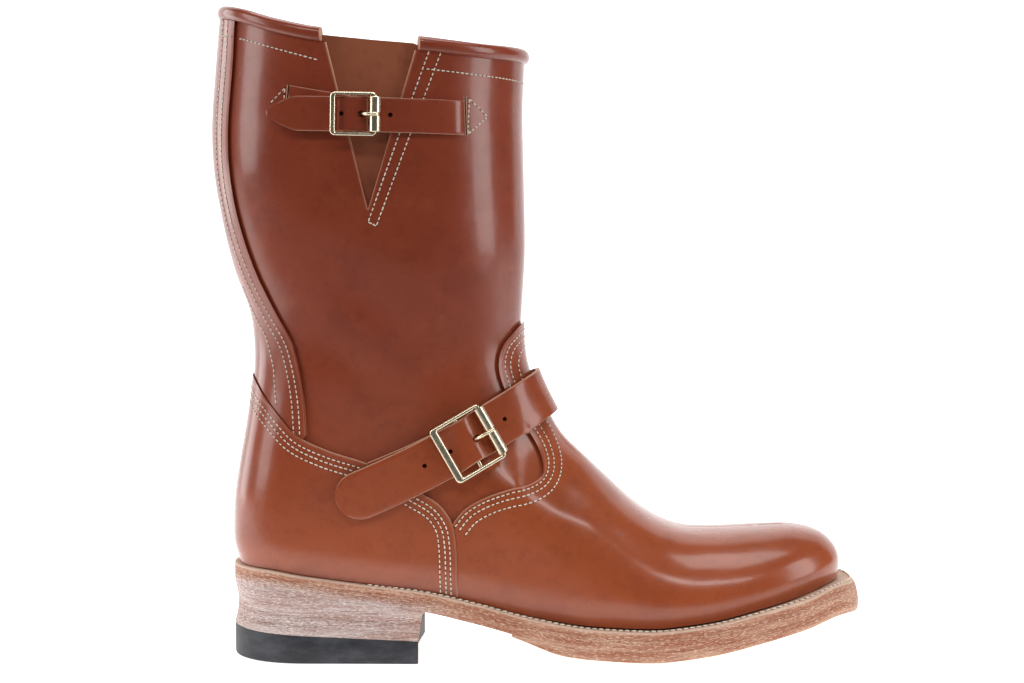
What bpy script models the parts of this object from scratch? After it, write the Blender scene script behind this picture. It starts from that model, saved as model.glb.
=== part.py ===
"""Engineer boot for the right foot, in metres, +Z up, toe towards +X, outer side towards -Y.

The upper, its overlays and its straps all come from one function, body_points, which gives
the side of the boot from its length, ball width, instep and heel height.  The sole layers
take their outlines from the same function, so that every seat follows its neighbour.
"""

import math

import bmesh
import bpy
import numpy as np
from mathutils import Matrix

# Driving sizes of the last and the shaft
LAST_LENGTH = 0.3005
BALL_HALF_WIDTH = 0.0465
HEEL_HALF_WIDTH = 0.0325
SHAFT_HALF_WIDTH = 0.0495
SHAFT_RISE = 0.2675
COLLAR_SLOPE = 0.0207
COLLAR_DIP = 0.0070
TOE_BOX_HEIGHT = 0.0229
TOE_SPRING = 0.0205
TOE_SWING = 0.0065
TOE_ROUND = 0.062
UNDERCUT = 0.0024
UNDERCUT_HEIGHT = 0.0075
SECTION_DEPTH = 0.076

# Leather thicknesses
UPPER_WALL = 0.0023
VAMP_LEATHER = 0.0019
COUNTER_LEATHER = 0.0028
BACKSTAY_LEATHER = 0.0017
GUSSET_LEATHER = 0.0016
ANKLE_STRAP_LEATHER = 0.0022
TOP_STRAP_LEATHER = 0.0019
SEAT_GAP = 0.0003
PANEL_GAP = 0.0005
WELT_GAP = 0.0005

# Sole and heel
WELT_THICKNESS = 0.0032
MIDSOLE_THICKNESS = 0.0058
HALF_SOLE_THICKNESS = 0.0054
INSOLE_THICKNESS = 0.0043
INSOLE_PROUD = 0.0015
INSOLE_MARGIN = 0.0011
WELT_INSET = 0.0023
SOLE_REACH = 0.0090
TREAD_CROWN = 0.0050
TREAD_FLAT = 0.0014
HEEL_HEIGHT = 0.0360
HEEL_LENGTH = 0.0915
BREAST_RAKE = 0.0022
LIFT_COUNT = 4
STACK_WAIST = 0.0017
TOP_LIFT_BACK = 0.0152
TOP_LIFT_FRONT = 0.0112
WELT_START = 0.0600
HALF_SOLE_START = 0.1370
HALF_SOLE_FEATHER = 0.0260
HALF_SOLE_FEATHER_EDGE = 0.0012

# Collar bead and side gusset
BEAD_WIDTH = 0.0072
BEAD_HEIGHT = 0.0062
BEAD_CUT = 0.0040
NOTCH_REAR = 0.0470
NOTCH_FRONT = 0.0975
NOTCH_APEX = 0.0690
NOTCH_APEX_HEIGHT = 0.2210
GUSSET_MARGIN = 0.0130

# Straps
ANKLE_STRAP_WIDTH = 0.0234
ANKLE_STRAP_SLOPE = math.radians(27.7)
ANKLE_STRAP_FRONT_HEIGHT = 0.1288
ANKLE_STRAP_BOW = 0.0027
ANKLE_STRAP_BOW_RUN = 0.1100
ANKLE_STRAP_TAIL = 0.1085
ANKLE_STRAP_INNER = 0.0945
ANKLE_CHAPE_START = 0.0940
ANKLE_BUCKLE_AT = 0.0400
TOP_STRAP_WIDTH = 0.0162
TOP_STRAP_SLOPE = math.radians(-1.2)
TOP_STRAP_FRONT_HEIGHT = 0.2631
TOP_STRAP_ROOT = 0.0285
TOP_STRAP_TAIL = 0.1198
TOP_CHAPE_START = 0.1095
TOP_CHAPE_RISE = 0.0054
ANKLE_CHAPE_RISE = 0.0020
TOP_BUCKLE_AT = 0.0785
CHAPE_LIFT = 0.0013
CHAPE_LEATHER = 0.0012
HOLE_RADIUS = 0.0011
ANKLE_HOLES = (0.5075, 1.220, 1.550)
TOP_HOLES = (0.7975, 1.0765)
PRONG_SLOT = 0.0060

# Buckles
ANKLE_FRAME_LENGTH = 0.0290
ANKLE_FRAME_SIDE = 0.0020
ANKLE_FRAME_BAR = 0.0040
ANKLE_FRAME_CLEARANCE = 0.0011
ANKLE_FRAME_SAG = 0.0007
TOP_FRAME_LENGTH = 0.0232
TOP_FRAME_SIDE = 0.0017
TOP_FRAME_BAR = 0.0026
TOP_FRAME_CLEARANCE = 0.0004
TOP_FRAME_SAG = 0.0
FRAME_HEIGHT = 0.0022
BAR_RADIUS = 0.0010
BAR_DROP = 0.0026
ROLLER_WALL = 0.0009
PRONG_RADIUS = 0.00085

# Sampling of the forms
COLUMNS = 19
ROWS = 19
OUTLINE_POINTS = 52

# How far cutting forms reach past the boot
CLEAR = 0.7 * LAST_LENGTH

SOLE_STACK = HALF_SOLE_THICKNESS + MIDSOLE_THICKNESS + WELT_THICKNESS + WELT_GAP + 2 * SEAT_GAP
TREAD_EDGE = TREAD_CROWN - TREAD_FLAT
TREAD_HEIGHT = SOLE_STACK + TREAD_EDGE
SEAT_HEIGHT = HEEL_HEIGHT + MIDSOLE_THICKNESS + WELT_THICKNESS + WELT_GAP + 2 * SEAT_GAP
COLLAR_BACK = SEAT_HEIGHT + SHAFT_RISE
COLLAR_FRONT = COLLAR_BACK - COLLAR_SLOPE

# Feather line, where the upper meets the welt: reach along the last, and how much of the
# heel's rise and of the toe spring the line has there
FEATHER_LINE = [
    ("reach", "heel", "toe"),
    (-0.03, 1.000, 0.0),
    (0.05, 0.992, 0.0),
    (0.12, 0.890, 0.0),
    (0.21, 0.755, 0.0),
    (0.32, 0.605, 0.0),
    (0.40, 0.415, 0.0),
    (0.48, 0.205, 0.0),
    (0.58, 0.040, 0.0),
    (0.68, 0.000, 0.0),
    (0.76, 0.0, 0.115),
    (0.86, 0.0, 0.420),
    (0.93, 0.0, 0.645),
    (1.00, 0.0, 0.875),
    (1.035, 0.0, 0.830),
    (1.05, 0.0, 0.810),
]

# Front line of the upper from the toe to the collar: reach along the last, share of the
# toe box height, share of the rise from the toe box to the collar
FRONT_LINE = [
    ("reach", "toe_box", "leg"),
    (1.0050, 0.000, 0.0000),
    (1.0045, 0.190, 0.0000),
    (0.9990, 0.430, 0.0000),
    (0.9895, 0.660, 0.0000),
    (0.9700, 0.870, 0.0000),
    (0.9300, 1.000, 0.0000),
    (0.8660, 0.985, 0.0000),
    (0.7880, 0.945, 0.0000),
    (0.7430, 0.985, 0.0000),
    (0.7010, 1.000, 0.0177),
    (0.6590, 1.000, 0.0528),
    (0.6170, 1.000, 0.1017),
    (0.5760, 1.000, 0.1522),
    (0.5350, 1.000, 0.2047),
    (0.5140, 1.000, 0.2492),
    (0.4790, 1.000, 0.3480),
    (0.4705, 1.000, 0.4233),
    (0.4730, 1.000, 0.4955),
    (0.4775, 1.000, 0.6043),
    (0.4755, 1.000, 0.7626),
    (0.4735, 1.000, 0.9010),
    (0.4765, 1.000, 1.0000),
]

# Back line of the upper from the heel seat to the collar, with the half width of the leg
# there and the length over which its back is rounded
BACK_LINE = [
    ("rise", "reach", "half_width", "round"),
    (0.000, 0.0000, 0.660, 0.480),
    (0.045, -0.0010, 0.675, 0.490),
    (0.116, 0.0013, 0.680, 0.520),
    (0.183, 0.0100, 0.675, 0.560),
    (0.273, 0.0242, 0.695, 0.640),
    (0.348, 0.0325, 0.735, 0.740),
    (0.400, 0.0340, 0.775, 0.820),
    (0.465, 0.0270, 0.830, 0.900),
    (0.544, 0.0020, 0.895, 0.960),
    (0.633, -0.0171, 0.945, 0.990),
    (0.722, -0.0299, 0.975, 1.000),
    (0.800, -0.0329, 0.990, 1.000),
    (0.897, -0.0268, 1.000, 1.000),
    (1.000, -0.0185, 1.010, 1.000),
]

# Plan of the foot: half widths as shares of the ball's, swing of the middle line towards
# the big toe, and how far the sole reaches past the feather line
PLAN = [
    ("reach", "outer", "inner", "swing", "sole"),
    (-0.05, 0.690, 0.685, 0.00, 0.50),
    (0.12, 0.700, 0.690, 0.00, 0.50),
    (0.28, 0.705, 0.665, 0.00, 0.54),
    (0.40, 0.765, 0.665, 0.06, 0.68),
    (0.50, 0.865, 0.735, 0.20, 0.82),
    (0.60, 0.965, 0.865, 0.38, 0.94),
    (0.69, 1.010, 0.965, 0.55, 1.00),
    (0.78, 1.000, 0.965, 0.72, 1.02),
    (0.86, 0.950, 0.915, 0.86, 1.08),
    (0.93, 0.890, 0.865, 0.95, 1.18),
    (1.05, 0.800, 0.790, 1.00, 1.54),
]

# Loops round the upper: each joins a share of the front line to a share of the back line
LOOPS = [
    ("row", "front", "back"),
    (0.00, 0.000, 0.000),
    (0.14, 0.050, 0.050),
    (0.27, 0.110, 0.075),
    (0.41, 0.240, 0.125),
    (0.54, 0.370, 0.270),
    (0.67, 0.540, 0.440),
    (0.81, 0.740, 0.680),
    (1.00, 1.000, 1.000),
]

# Dip of the collar between the back seam and the front
COLLAR_LINE = [
    ("along", "dip"),
    (0.00, 0.00),
    (0.10, 0.33),
    (0.20, 0.74),
    (0.34, 1.00),
    (0.50, 0.90),
    (0.67, 0.66),
    (0.85, 0.44),
    (1.00, 0.00),
]

# Seams seen from the side, as shares of the last length forwards and of the shaft's rise
# above the heel seat upwards
COUNTER_EDGE = [
    ("reach", "rise"),
    (0.3660, -0.1800),
    (0.3675, 0.0050),
    (0.3655, 0.0505),
    (0.3600, 0.0830),
    (0.3400, 0.1170),
    (0.3000, 0.1455),
    (0.2270, 0.1915),
    (0.1620, 0.2160),
    (0.1120, 0.2420),
    (0.0860, 0.2710),
    (0.0500, 0.3160),
    (0.0250, 0.3500),
    (-0.0600, 0.4050),
]
VAMP_EDGE = [
    ("reach", "rise"),
    (0.3600, 0.0830),
    (0.3805, 0.1105),
    (0.4130, 0.1320),
    (0.4530, 0.1470),
    (0.4850, 0.1530),
    (0.5035, 0.1660),
    (0.5070, 0.1865),
    (0.4985, 0.2180),
    (0.4695, 0.2720),
    (0.4450, 0.3220),
    (0.4350, 0.3590),
    (0.4355, 0.3820),
    (0.4425, 0.4050),
    (0.4570, 0.4240),
    (0.4750, 0.4440),
    (0.5200, 0.4700),
]
BACKSTAY_EDGE = [
    ("reach", "rise"),
    (0.0160, 1.0600),
    (0.0110, 0.9230),
    (0.0025, 0.8150),
    (0.0015, 0.7430),
    (0.0060, 0.6880),
    (0.0175, 0.6250),
    (0.0415, 0.5440),
    (0.0740, 0.4680),
    (0.1015, 0.4140),
    (0.1130, 0.3700),
    (0.1210, 0.3160),
    (0.1245, 0.2590),
    (0.1245, 0.1500),
]

# Underside of each strap above the upper: place along the strap as a share of the distance from
# the front line to the buckle, or to the strap's end on the inner side, and share of the lift
ANKLE_STRAP_LIFT = [
    ("along", "lift"),
    (0.000, 1.00),
    (0.250, 0.90),
    (0.450, 0.60),
    (0.624, 0.30),
    (0.776, 0.20),
    (0.825, 0.30),
    (0.949, 1.18),
    (1.050, 1.18),
    (1.150, 0.80),
    (1.250, 0.54),
    (1.400, 0.52),
    (1.576, 0.60),
    (1.750, 0.76),
    (2.799, 0.76),
]
INNER_STRAP_LIFT = [
    ("along", "lift"),
    (0.000, 1.00),
    (0.212, 0.74),
    (0.339, 0.34),
    (0.466, 0.26),
    (1.164, 0.26),
]
TOP_STRAP_LIFT = [
    ("along", "lift"),
    (0.382, 0.10),
    (0.510, 0.12),
    (0.713, 0.18),
    (0.841, 0.22),
    (0.911, 0.28),
    (0.975, 1.05),
    (1.019, 1.05),
    (1.064, 0.76),
    (1.102, 0.50),
    (1.160, 0.50),
    (1.337, 0.52),
    (1.580, 0.50),
]
BUCKLE_LIFT = 0.0053
ANKLE_FRAME_LIFT = 0.0074
TOP_FRAME_LIFT = 0.0067


def column(table, name):
    """One named column of a table, as numbers."""
    place = table[0].index(name)
    return np.array([row[place] for row in table[1:]], float)


def smooth_step(value, low, high):
    share = np.clip((np.asarray(value, float) - low) / (high - low), 0.0, 1.0)
    return share * share * (3.0 - 2.0 * share)


def slopes(x, y):
    """Monotone slopes at the rows of a table, for cubic interpolation."""
    step = np.diff(x)
    rate = np.diff(y) / step
    slope = np.zeros(len(x))
    slope[0], slope[-1] = rate[0], rate[-1]
    for k in range(1, len(x) - 1):
        if rate[k - 1] * rate[k] > 0.0:
            before, after = step[k - 1], step[k]
            w1, w2 = 2 * after + before, after + 2 * before
            slope[k] = (w1 + w2) / (w1 / rate[k - 1] + w2 / rate[k])
    return slope


def interpolate(at, x, y):
    """Smooth curve through the rows (x, y), read at the given places."""
    at = np.clip(np.asarray(at, float), x[0], x[-1])
    slope = slopes(x, y)
    k = np.clip(np.searchsorted(x, at, side="right") - 1, 0, len(x) - 2)
    width = x[k + 1] - x[k]
    t = (at - x[k]) / width
    h00 = (1 + 2 * t) * (1 - t) ** 2
    h10 = t * (1 - t) ** 2
    h01 = t * t * (3 - 2 * t)
    h11 = t * t * (t - 1)
    return h00 * y[k] + h10 * width * slope[k] + h01 * y[k + 1] + h11 * width * slope[k + 1]


def curve_through(points, count):
    """Round curve through a few points, read at count even steps of its length."""
    points = np.asarray(points, float)
    chord = np.linalg.norm(np.diff(points, axis=0), axis=1)
    along = np.concatenate([[0.0], np.cumsum(np.sqrt(chord))])
    tangent = np.gradient(points, along, axis=0, edge_order=1)
    fine = np.linspace(0.0, along[-1], 24 * len(points))
    k = np.clip(np.searchsorted(along, fine, side="right") - 1, 0, len(points) - 2)
    width = (along[k + 1] - along[k])[:, None]
    t = ((fine - along[k])[:, None]) / width
    dense = (
        (1 + 2 * t) * (1 - t) ** 2 * points[k]
        + t * (1 - t) ** 2 * width * tangent[k]
        + t * t * (3 - 2 * t) * points[k + 1]
        + t * t * (t - 1) * width * tangent[k + 1]
    )
    return even_steps(dense, count)


def even_steps(points, count):
    """The same line with count points at even steps of its length."""
    run = np.concatenate([[0.0], np.cumsum(np.linalg.norm(np.diff(points, axis=0), axis=1))])
    at = np.linspace(0.0, run[-1], count)
    return np.stack([np.interp(at, run, points[:, k]) for k in range(points.shape[1])], axis=1)


def feather_height(x):
    """Height of the line where the upper meets the welt."""
    reach = np.asarray(x, float) / LAST_LENGTH
    rows = column(FEATHER_LINE, "reach")
    heel = interpolate(reach, rows, column(FEATHER_LINE, "heel"))
    toe = interpolate(reach, rows, column(FEATHER_LINE, "toe"))
    return TREAD_HEIGHT + heel * (SEAT_HEIGHT - TREAD_HEIGHT) + toe * TOE_SPRING


def front_line(count):
    """Side outline of toe, instep and shin, from the feather line to the collar."""
    toe = float(feather_height(LAST_LENGTH))
    leg = COLLAR_FRONT - toe - TOE_BOX_HEIGHT
    x = column(FRONT_LINE, "reach") * LAST_LENGTH
    z = toe + column(FRONT_LINE, "toe_box") * TOE_BOX_HEIGHT + column(FRONT_LINE, "leg") * leg
    return curve_through(np.stack([x, z], axis=1), count)


def back_line(count):
    """Side outline of the heel and calf, from the feather line to the collar."""
    x = column(BACK_LINE, "reach") * LAST_LENGTH
    z = SEAT_HEIGHT + column(BACK_LINE, "rise") * SHAFT_RISE
    return curve_through(np.stack([x, z], axis=1), count)


FRONT = front_line(400)
BACK = back_line(300)


def plan(name, x):
    return interpolate(np.asarray(x, float) / LAST_LENGTH, column(PLAN, "reach"), column(PLAN, name))


def middle(x):
    """The foot's middle line, which swings towards the big toe."""
    return plan("swing", x) * TOE_SWING


def rounding(share, power):
    """Superellipse quarter: 0 at the edge, 1 once share reaches 1."""
    rest = 1.0 - np.clip(share, 0.0, 1.0)
    return (1.0 - rest**power) ** (1.0 / power)


def half_width(x, z, inner):
    """Half width of the upper at a place of its side outline, on its inner or outer side."""
    x, z = np.asarray(x, float), np.asarray(z, float)
    rise = (z - SEAT_HEIGHT) / SHAFT_RISE
    rows = column(BACK_LINE, "rise")
    leg = interpolate(rise, rows, column(BACK_LINE, "half_width")) * SHAFT_HALF_WIDTH
    foot = plan("inner" if inner else "outer", x) * BALL_HALF_WIDTH
    heel_share = 1.0 - smooth_step(x / LAST_LENGTH, 0.15, 0.45)
    foot = foot + heel_share * (HEEL_HALF_WIDTH - 0.70 * BALL_HALF_WIDTH)
    toe_tip = FRONT[:, 0].max()
    foot = foot * rounding((toe_tip - x) / TOE_ROUND, 2.3)
    body = foot + (leg - foot) * smooth_step(rise, 0.04, 0.34)

    length = interpolate(rise, rows, column(BACK_LINE, "round")) * SECTION_DEPTH
    back = rounding((x - np.interp(z, BACK[:, 1], BACK[:, 0])) / length, 2.15)

    low_leg = FRONT[:, 1] < SEAT_HEIGHT + 0.44 * SHAFT_RISE
    ridge = FRONT[low_leg][::-1]
    ridge_x = np.concatenate([[ridge[0, 0] - 0.02, ridge[0, 0] - 0.0005], ridge[:, 0]])
    ridge_z = np.concatenate([[COLLAR_BACK * 2, ridge[0, 1] + 0.02], ridge[:, 1]])
    ridge_x, ridge_z = np.maximum.accumulate(ridge_x), ridge_z
    top = np.interp(x, ridge_x, ridge_z)
    height = np.maximum(top - feather_height(x), 1e-5)
    height = (height**-4 + SECTION_DEPTH**-4) ** -0.25
    down = np.maximum(top - z, 0.0) / height

    shin = FRONT[np.argmin(np.where(FRONT[:, 0] < 0.85 * LAST_LENGTH, FRONT[:, 1], 1.0)) :]
    shin_z = np.maximum.accumulate(shin[:, 1])
    inwards = np.maximum(np.interp(z, shin_z, shin[:, 0]) - x, 0.0) / SECTION_DEPTH
    level = SEAT_HEIGHT + SHAFT_RISE * np.array([0.08, 0.22, 0.24, 0.40])
    use_down = 1.0 - smooth_step(z, level[2], level[3])
    use_inwards = smooth_step(z, level[0], level[1])
    depth = 1.0 / np.sqrt(
        use_down / np.maximum(down, 1e-6) ** 2 + use_inwards / np.maximum(inwards, 1e-6) ** 2
    )
    power = 2.0 + 0.35 * (1.0 - use_inwards)
    return body * back * rounding(depth, power)


def loop_ends(row):
    """Where a loop's plane meets the back line and the front line."""
    rows = column(LOOPS, "row")
    front = interpolate(row, rows, column(LOOPS, "front")) * (len(FRONT) - 1)
    back = interpolate(row, rows, column(LOOPS, "back")) * (len(BACK) - 1)
    f = np.stack([np.interp(front, np.arange(len(FRONT)), FRONT[:, k]) for k in (0, 1)], -1)
    b = np.stack([np.interp(back, np.arange(len(BACK)), BACK[:, k]) for k in (0, 1)], -1)
    return f, b, front / (len(FRONT) - 1)


def body_points(rows, columns):
    """Grid of points on the outside of the upper's own leather: [row, place round it, xyz].

    A loop starts at the back seam, runs along the outer side to the front and back along
    the inner side.  The lowest loop is the feather line and the highest is the collar.
    """
    front, back, share = loop_ends(rows)
    turn = np.arange(2 * columns) * math.pi / columns
    along = (1.0 - np.cos(turn)) / 2.0
    x = back[:, None, 0] + (front - back)[:, None, 0] * along
    z = back[:, None, 1] + (front - back)[:, None, 1] * along
    low = loop_ends(np.array([0.0]))
    low_chord = low[1][0, 1] + (low[0] - low[1])[0, 1] * along
    low_x = low[1][0, 0] + (low[0] - low[1])[0, 0] * along
    sag = feather_height(low_x) - low_chord
    z = z + sag * (1.0 - smooth_step(share, 0.0, 0.50))[:, None]
    dip = interpolate(along, column(COLLAR_LINE, "along"), column(COLLAR_LINE, "dip"))
    z = z - dip * COLLAR_DIP * smooth_step(share, 0.72, 1.0)[:, None]
    inner = np.sin(turn) < 0.0
    width = np.where(inner, half_width(x, z, True), half_width(x, z, False))
    width = np.where((along < 1e-9) | (along > 1 - 1e-9), 0.0, width)
    y = middle(x) + np.where(inner, width, -width)
    points = np.stack([x, y, z], axis=-1)
    flat = normals(points) * np.array([1.0, 1.0, 0.0])
    lift = z - feather_height(x)
    tuck = UNDERCUT * np.exp(-((lift / UNDERCUT_HEIGHT) ** 2))
    return points - flat * tuck[..., None]


def normals(points):
    """Outward unit normals of a grid of loops."""
    round_it = np.roll(points, -1, axis=1) - np.roll(points, 1, axis=1)
    up = np.gradient(points, axis=0)
    normal = np.cross(round_it, up)
    size = np.linalg.norm(normal, axis=-1, keepdims=True)
    return normal / np.maximum(size, 1e-12)


def offset(points, distance):
    """The grid moved out along its normals; its lowest loop stays on the feather line."""
    normal = normals(points)
    normal[0, :, 2] = 0.0
    normal[0] /= np.linalg.norm(normal[0], axis=-1, keepdims=True)
    normal[-1, :, 2] = 0.0
    normal[-1] /= np.linalg.norm(normal[-1], axis=-1, keepdims=True)
    moved = points + normal * distance
    moved[0, :, 2] = feather_height(moved[0, :, 0])
    return moved


def surface_frame(x, z, inner):
    """Point and outward normal of the upper's leather at a place of its side outline."""
    step = 0.0002
    side = 1.0 if inner else -1.0

    def at(a, b):
        y = middle(a) + side * half_width(a, b, inner)
        return np.stack([a, y, b], axis=-1)

    here = at(x, z)
    along = at(x + step, z) - at(x - step, z)
    up = at(x, z + step) - at(x, z - step)
    normal = np.cross(up, along) * side
    return here, normal / np.linalg.norm(normal, axis=-1, keepdims=True)


# Making objects from grids of points


def principled(name, colour, roughness, metallic=0.0):
    material = bpy.data.materials.get(name) or bpy.data.materials.new(name)
    material.use_nodes = True
    shader = material.node_tree.nodes["Principled BSDF"]
    shader.inputs["Base Color"].default_value = (*colour, 1.0)
    shader.inputs["Roughness"].default_value = roughness
    shader.inputs["Metallic"].default_value = metallic
    return material


def materials():
    return {
        "leather": principled("glazed_leather", (0.30, 0.075, 0.035), 0.22),
        "lining": principled("flesh_leather", (0.42, 0.22, 0.12), 0.75),
        "sole": principled("natural_sole_leather", (0.52, 0.34, 0.24), 0.65),
        "rubber": principled("black_rubber", (0.02, 0.02, 0.022), 0.55),
        "metal": principled("polished_brass", (0.80, 0.68, 0.42), 0.18, 1.0),
    }


def new_object(name, vertices, faces, material, smooth=True):
    mesh = bpy.data.meshes.new(name)
    mesh.from_pydata([tuple(map(float, v)) for v in vertices], [], faces)
    tidy = bmesh.new()
    tidy.from_mesh(mesh)
    bmesh.ops.recalc_face_normals(tidy, faces=tidy.faces)
    if tidy.calc_volume(signed=True) < 0.0:
        bmesh.ops.reverse_faces(tidy, faces=tidy.faces)
    tidy.to_mesh(mesh)
    tidy.free()
    mesh.materials.append(material)
    piece = bpy.data.objects.new(name, mesh)
    bpy.context.scene.collection.objects.link(piece)
    if smooth:
        mesh.shade_smooth()
        mesh.set_sharp_from_angle(angle=math.radians(38))
    return piece


def tube_wall(name, outside, inside, material):
    """Closed wall between two grids of loops, open at its lowest and highest loop."""
    rows, around = outside.shape[:2]
    vertices = np.concatenate([outside.reshape(-1, 3), inside.reshape(-1, 3)])
    start = rows * around
    faces = []
    for j in range(around):
        k = (j + 1) % around
        for i in range(rows - 1):
            a, b = i * around, (i + 1) * around
            for base in (0, start):
                faces.append((base + a + j, base + a + k, base + b + k))
                faces.append((base + a + j, base + b + k, base + b + j))
        top = (rows - 1) * around
        faces.append((j, start + j, start + k, k))
        faces.append((top + j, top + k, start + top + k, start + top + j))
    return new_object(name, vertices, faces, material)


def sheet_solid(name, lower, upper, material):
    """Closed solid between two open grids of the same size."""
    rows, across = lower.shape[:2]
    vertices = np.concatenate([lower.reshape(-1, 3), upper.reshape(-1, 3)])
    start = rows * across
    faces = []
    for i in range(rows - 1):
        for j in range(across - 1):
            a = i * across + j
            faces.append((a, a + across, a + across + 1, a + 1))
            faces.append((start + a, start + a + 1, start + a + across + 1, start + a + across))
    rim = [j for j in range(across)]
    rim += [i * across + across - 1 for i in range(1, rows)]
    rim += [(rows - 1) * across + j for j in range(across - 2, -1, -1)]
    rim += [i * across for i in range(rows - 2, 0, -1)]
    for a, b in zip(rim, rim[1:] + rim[:1]):
        faces.append((a, b, start + b, start + a))
    return new_object(name, vertices, faces, material)


def ring_stack(name, rings, material, cap_low=True, cap_high=True):
    """Closed solid from rings of points, each joined to the next, with filled ends."""
    around = len(rings[0])
    vertices = np.concatenate(rings)
    faces = []
    for i in range(len(rings) - 1):
        a, b = i * around, (i + 1) * around
        for j in range(around):
            k = (j + 1) % around
            faces += [(a + j, a + k, b + j), (a + k, b + k, b + j)]
    if cap_low:
        faces.append(tuple(range(around - 1, -1, -1)))
    if cap_high:
        faces.append(tuple(range((len(rings) - 1) * around, len(rings) * around)))
    if not cap_low and not cap_high:
        last = (len(rings) - 1) * around
        for j in range(around):
            k = (j + 1) % around
            faces.append((last + j, last + k, k, j))
    return new_object(name, vertices, faces, material)


def prism(name, outline, low_y, high_y):
    """A side outline drawn out along Y, as a cutter that isn't part of the boot."""
    count = len(outline)
    near = [(x, low_y, z) for x, z in outline]
    far = [(x, high_y, z) for x, z in outline]
    faces = [tuple(range(count)), tuple(range(2 * count - 1, count - 1, -1))]
    for j in range(count):
        k = (j + 1) % count
        faces.append((j, k, count + k, count + j))
    cutter = new_object(name, near + far, faces, bpy.data.materials["glazed_leather"], smooth=False)
    return hide_cutter(cutter)


def hide_cutter(cutter):
    cutter.hide_render = True
    cutter.display_type = "WIRE"
    return cutter


def boolean(piece, cutter, operation):
    cut = piece.modifiers.new(cutter.name, "BOOLEAN")
    cut.operation = operation
    cut.solver = "EXACT"
    cut.object = cutter
    return piece


# The upper and what is sewn to it


def seam(table, count):
    """A seam's line seen from the side, in metres."""
    x = column(table, "reach") * LAST_LENGTH
    z = SEAT_HEIGHT + column(table, "rise") * SHAFT_RISE
    return curve_through(np.stack([x, z], axis=1), count)


def side_shift(line, distance):
    """A side line moved to its left by a distance."""
    tangent = np.gradient(line, axis=0)
    tangent /= np.linalg.norm(tangent, axis=1, keepdims=True)
    return line + np.stack([-tangent[:, 1], tangent[:, 0]], axis=1) * distance


def notch_outline(margin):
    """The V in the outer side of the shaft, widened by a margin."""
    slope_rear = (NOTCH_APEX - NOTCH_REAR) / (COLLAR_BACK - NOTCH_APEX_HEIGHT)
    slope_front = (NOTCH_FRONT - NOTCH_APEX) / (COLLAR_BACK - NOTCH_APEX_HEIGHT)
    top = COLLAR_BACK + CLEAR / 7
    rise = top - NOTCH_APEX_HEIGHT
    return [
        (NOTCH_APEX - slope_rear * rise - margin, top),
        (NOTCH_APEX - margin, NOTCH_APEX_HEIGHT - 0.4 * margin),
        (NOTCH_APEX, NOTCH_APEX_HEIGHT - 0.9 * margin),
        (NOTCH_APEX + margin, NOTCH_APEX_HEIGHT - 0.4 * margin),
        (NOTCH_APEX + slope_front * rise + margin, top),
    ]


def build_upper(material):
    points = body_points(np.linspace(0.0, 1.0, ROWS), COLUMNS)
    wall = tube_wall("upper", points, offset(points, -UPPER_WALL), material)
    outline = notch_outline(0.0)
    outline = [outline[0], outline[2], outline[4]]
    boolean(wall, prism("cut_notch", outline, -CLEAR, -SHAFT_HALF_WIDTH / 5), "DIFFERENCE")
    return wall


def overlay(name, outline, leather, first, last, material):
    """A panel sewn over the upper: the shell over its leather, kept inside a side outline."""
    points = body_points(np.linspace(0.0, 1.0, ROWS), COLUMNS)
    low = offset(points, PANEL_GAP)[first:last]
    high = offset(points, PANEL_GAP + leather)[first:last]
    panel = tube_wall(name, high, low, material)
    boolean(panel, prism("keep_" + name, outline, -CLEAR, CLEAR), "INTERSECT")
    return panel


def build_panels(material):
    far, top, low = 1.3 * LAST_LENGTH, COLLAR_BACK + CLEAR / 4, -CLEAR / 4
    counter = seam(COUNTER_EDGE, 26)
    counter_in = [tuple(p) for p in side_shift(counter, SEAT_GAP / 2)]
    overlay("counter", counter_in + [(-CLEAR / 2, counter_in[-1][1]), (-CLEAR / 2, low)], COUNTER_LEATHER,
            0, 13, material)

    counter_out = side_shift(counter, -SEAT_GAP / 2)
    vamp = seam(VAMP_EDGE, 26)
    joint = int(np.argmin(np.linalg.norm(counter_out - vamp[0], axis=1)))
    edge = [tuple(p) for p in counter_out[: joint + 1]] + [tuple(p) for p in vamp[1:]]
    overlay("vamp", edge + [(far, vamp[-1][1]), (far, low)], VAMP_LEATHER,
            0, 15, material)

    stay = seam(BACKSTAY_EDGE, 22)
    above = stay[:, 1] > np.interp(stay[:, 0], counter_out[::-1, 0], counter_out[::-1, 1])
    last = int(np.nonzero(above)[0][-1])
    meet_x = float(stay[last, 0])
    meet = (meet_x, float(np.interp(meet_x, counter_out[::-1, 0], counter_out[::-1, 1])))
    below = counter_out[counter_out[:, 0] < meet_x - 0.0005]
    outline = [tuple(p) for p in stay[: last + 1]] + [meet] + [tuple(p) for p in below]
    overlay("backstay", outline + [(-CLEAR / 2, below[-1][1]), (-CLEAR / 2, top)], BACKSTAY_LEATHER,
            7, ROWS, material)


def build_gusset(material):
    """The panel behind the V, sewn inside the shaft."""
    points = body_points(np.linspace(0.0, 1.0, ROWS), COLUMNS)
    start = UPPER_WALL + SEAT_GAP
    outside = offset(points, -start)[11:]
    inside = offset(points, -start - GUSSET_LEATHER)[11:]
    panel = tube_wall("gusset", outside, inside, material)
    cutter = prism("keep_gusset", notch_outline(GUSSET_MARGIN), -CLEAR, -SHAFT_HALF_WIDTH / 5)
    return boolean(panel, cutter, "INTERSECT")


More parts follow.
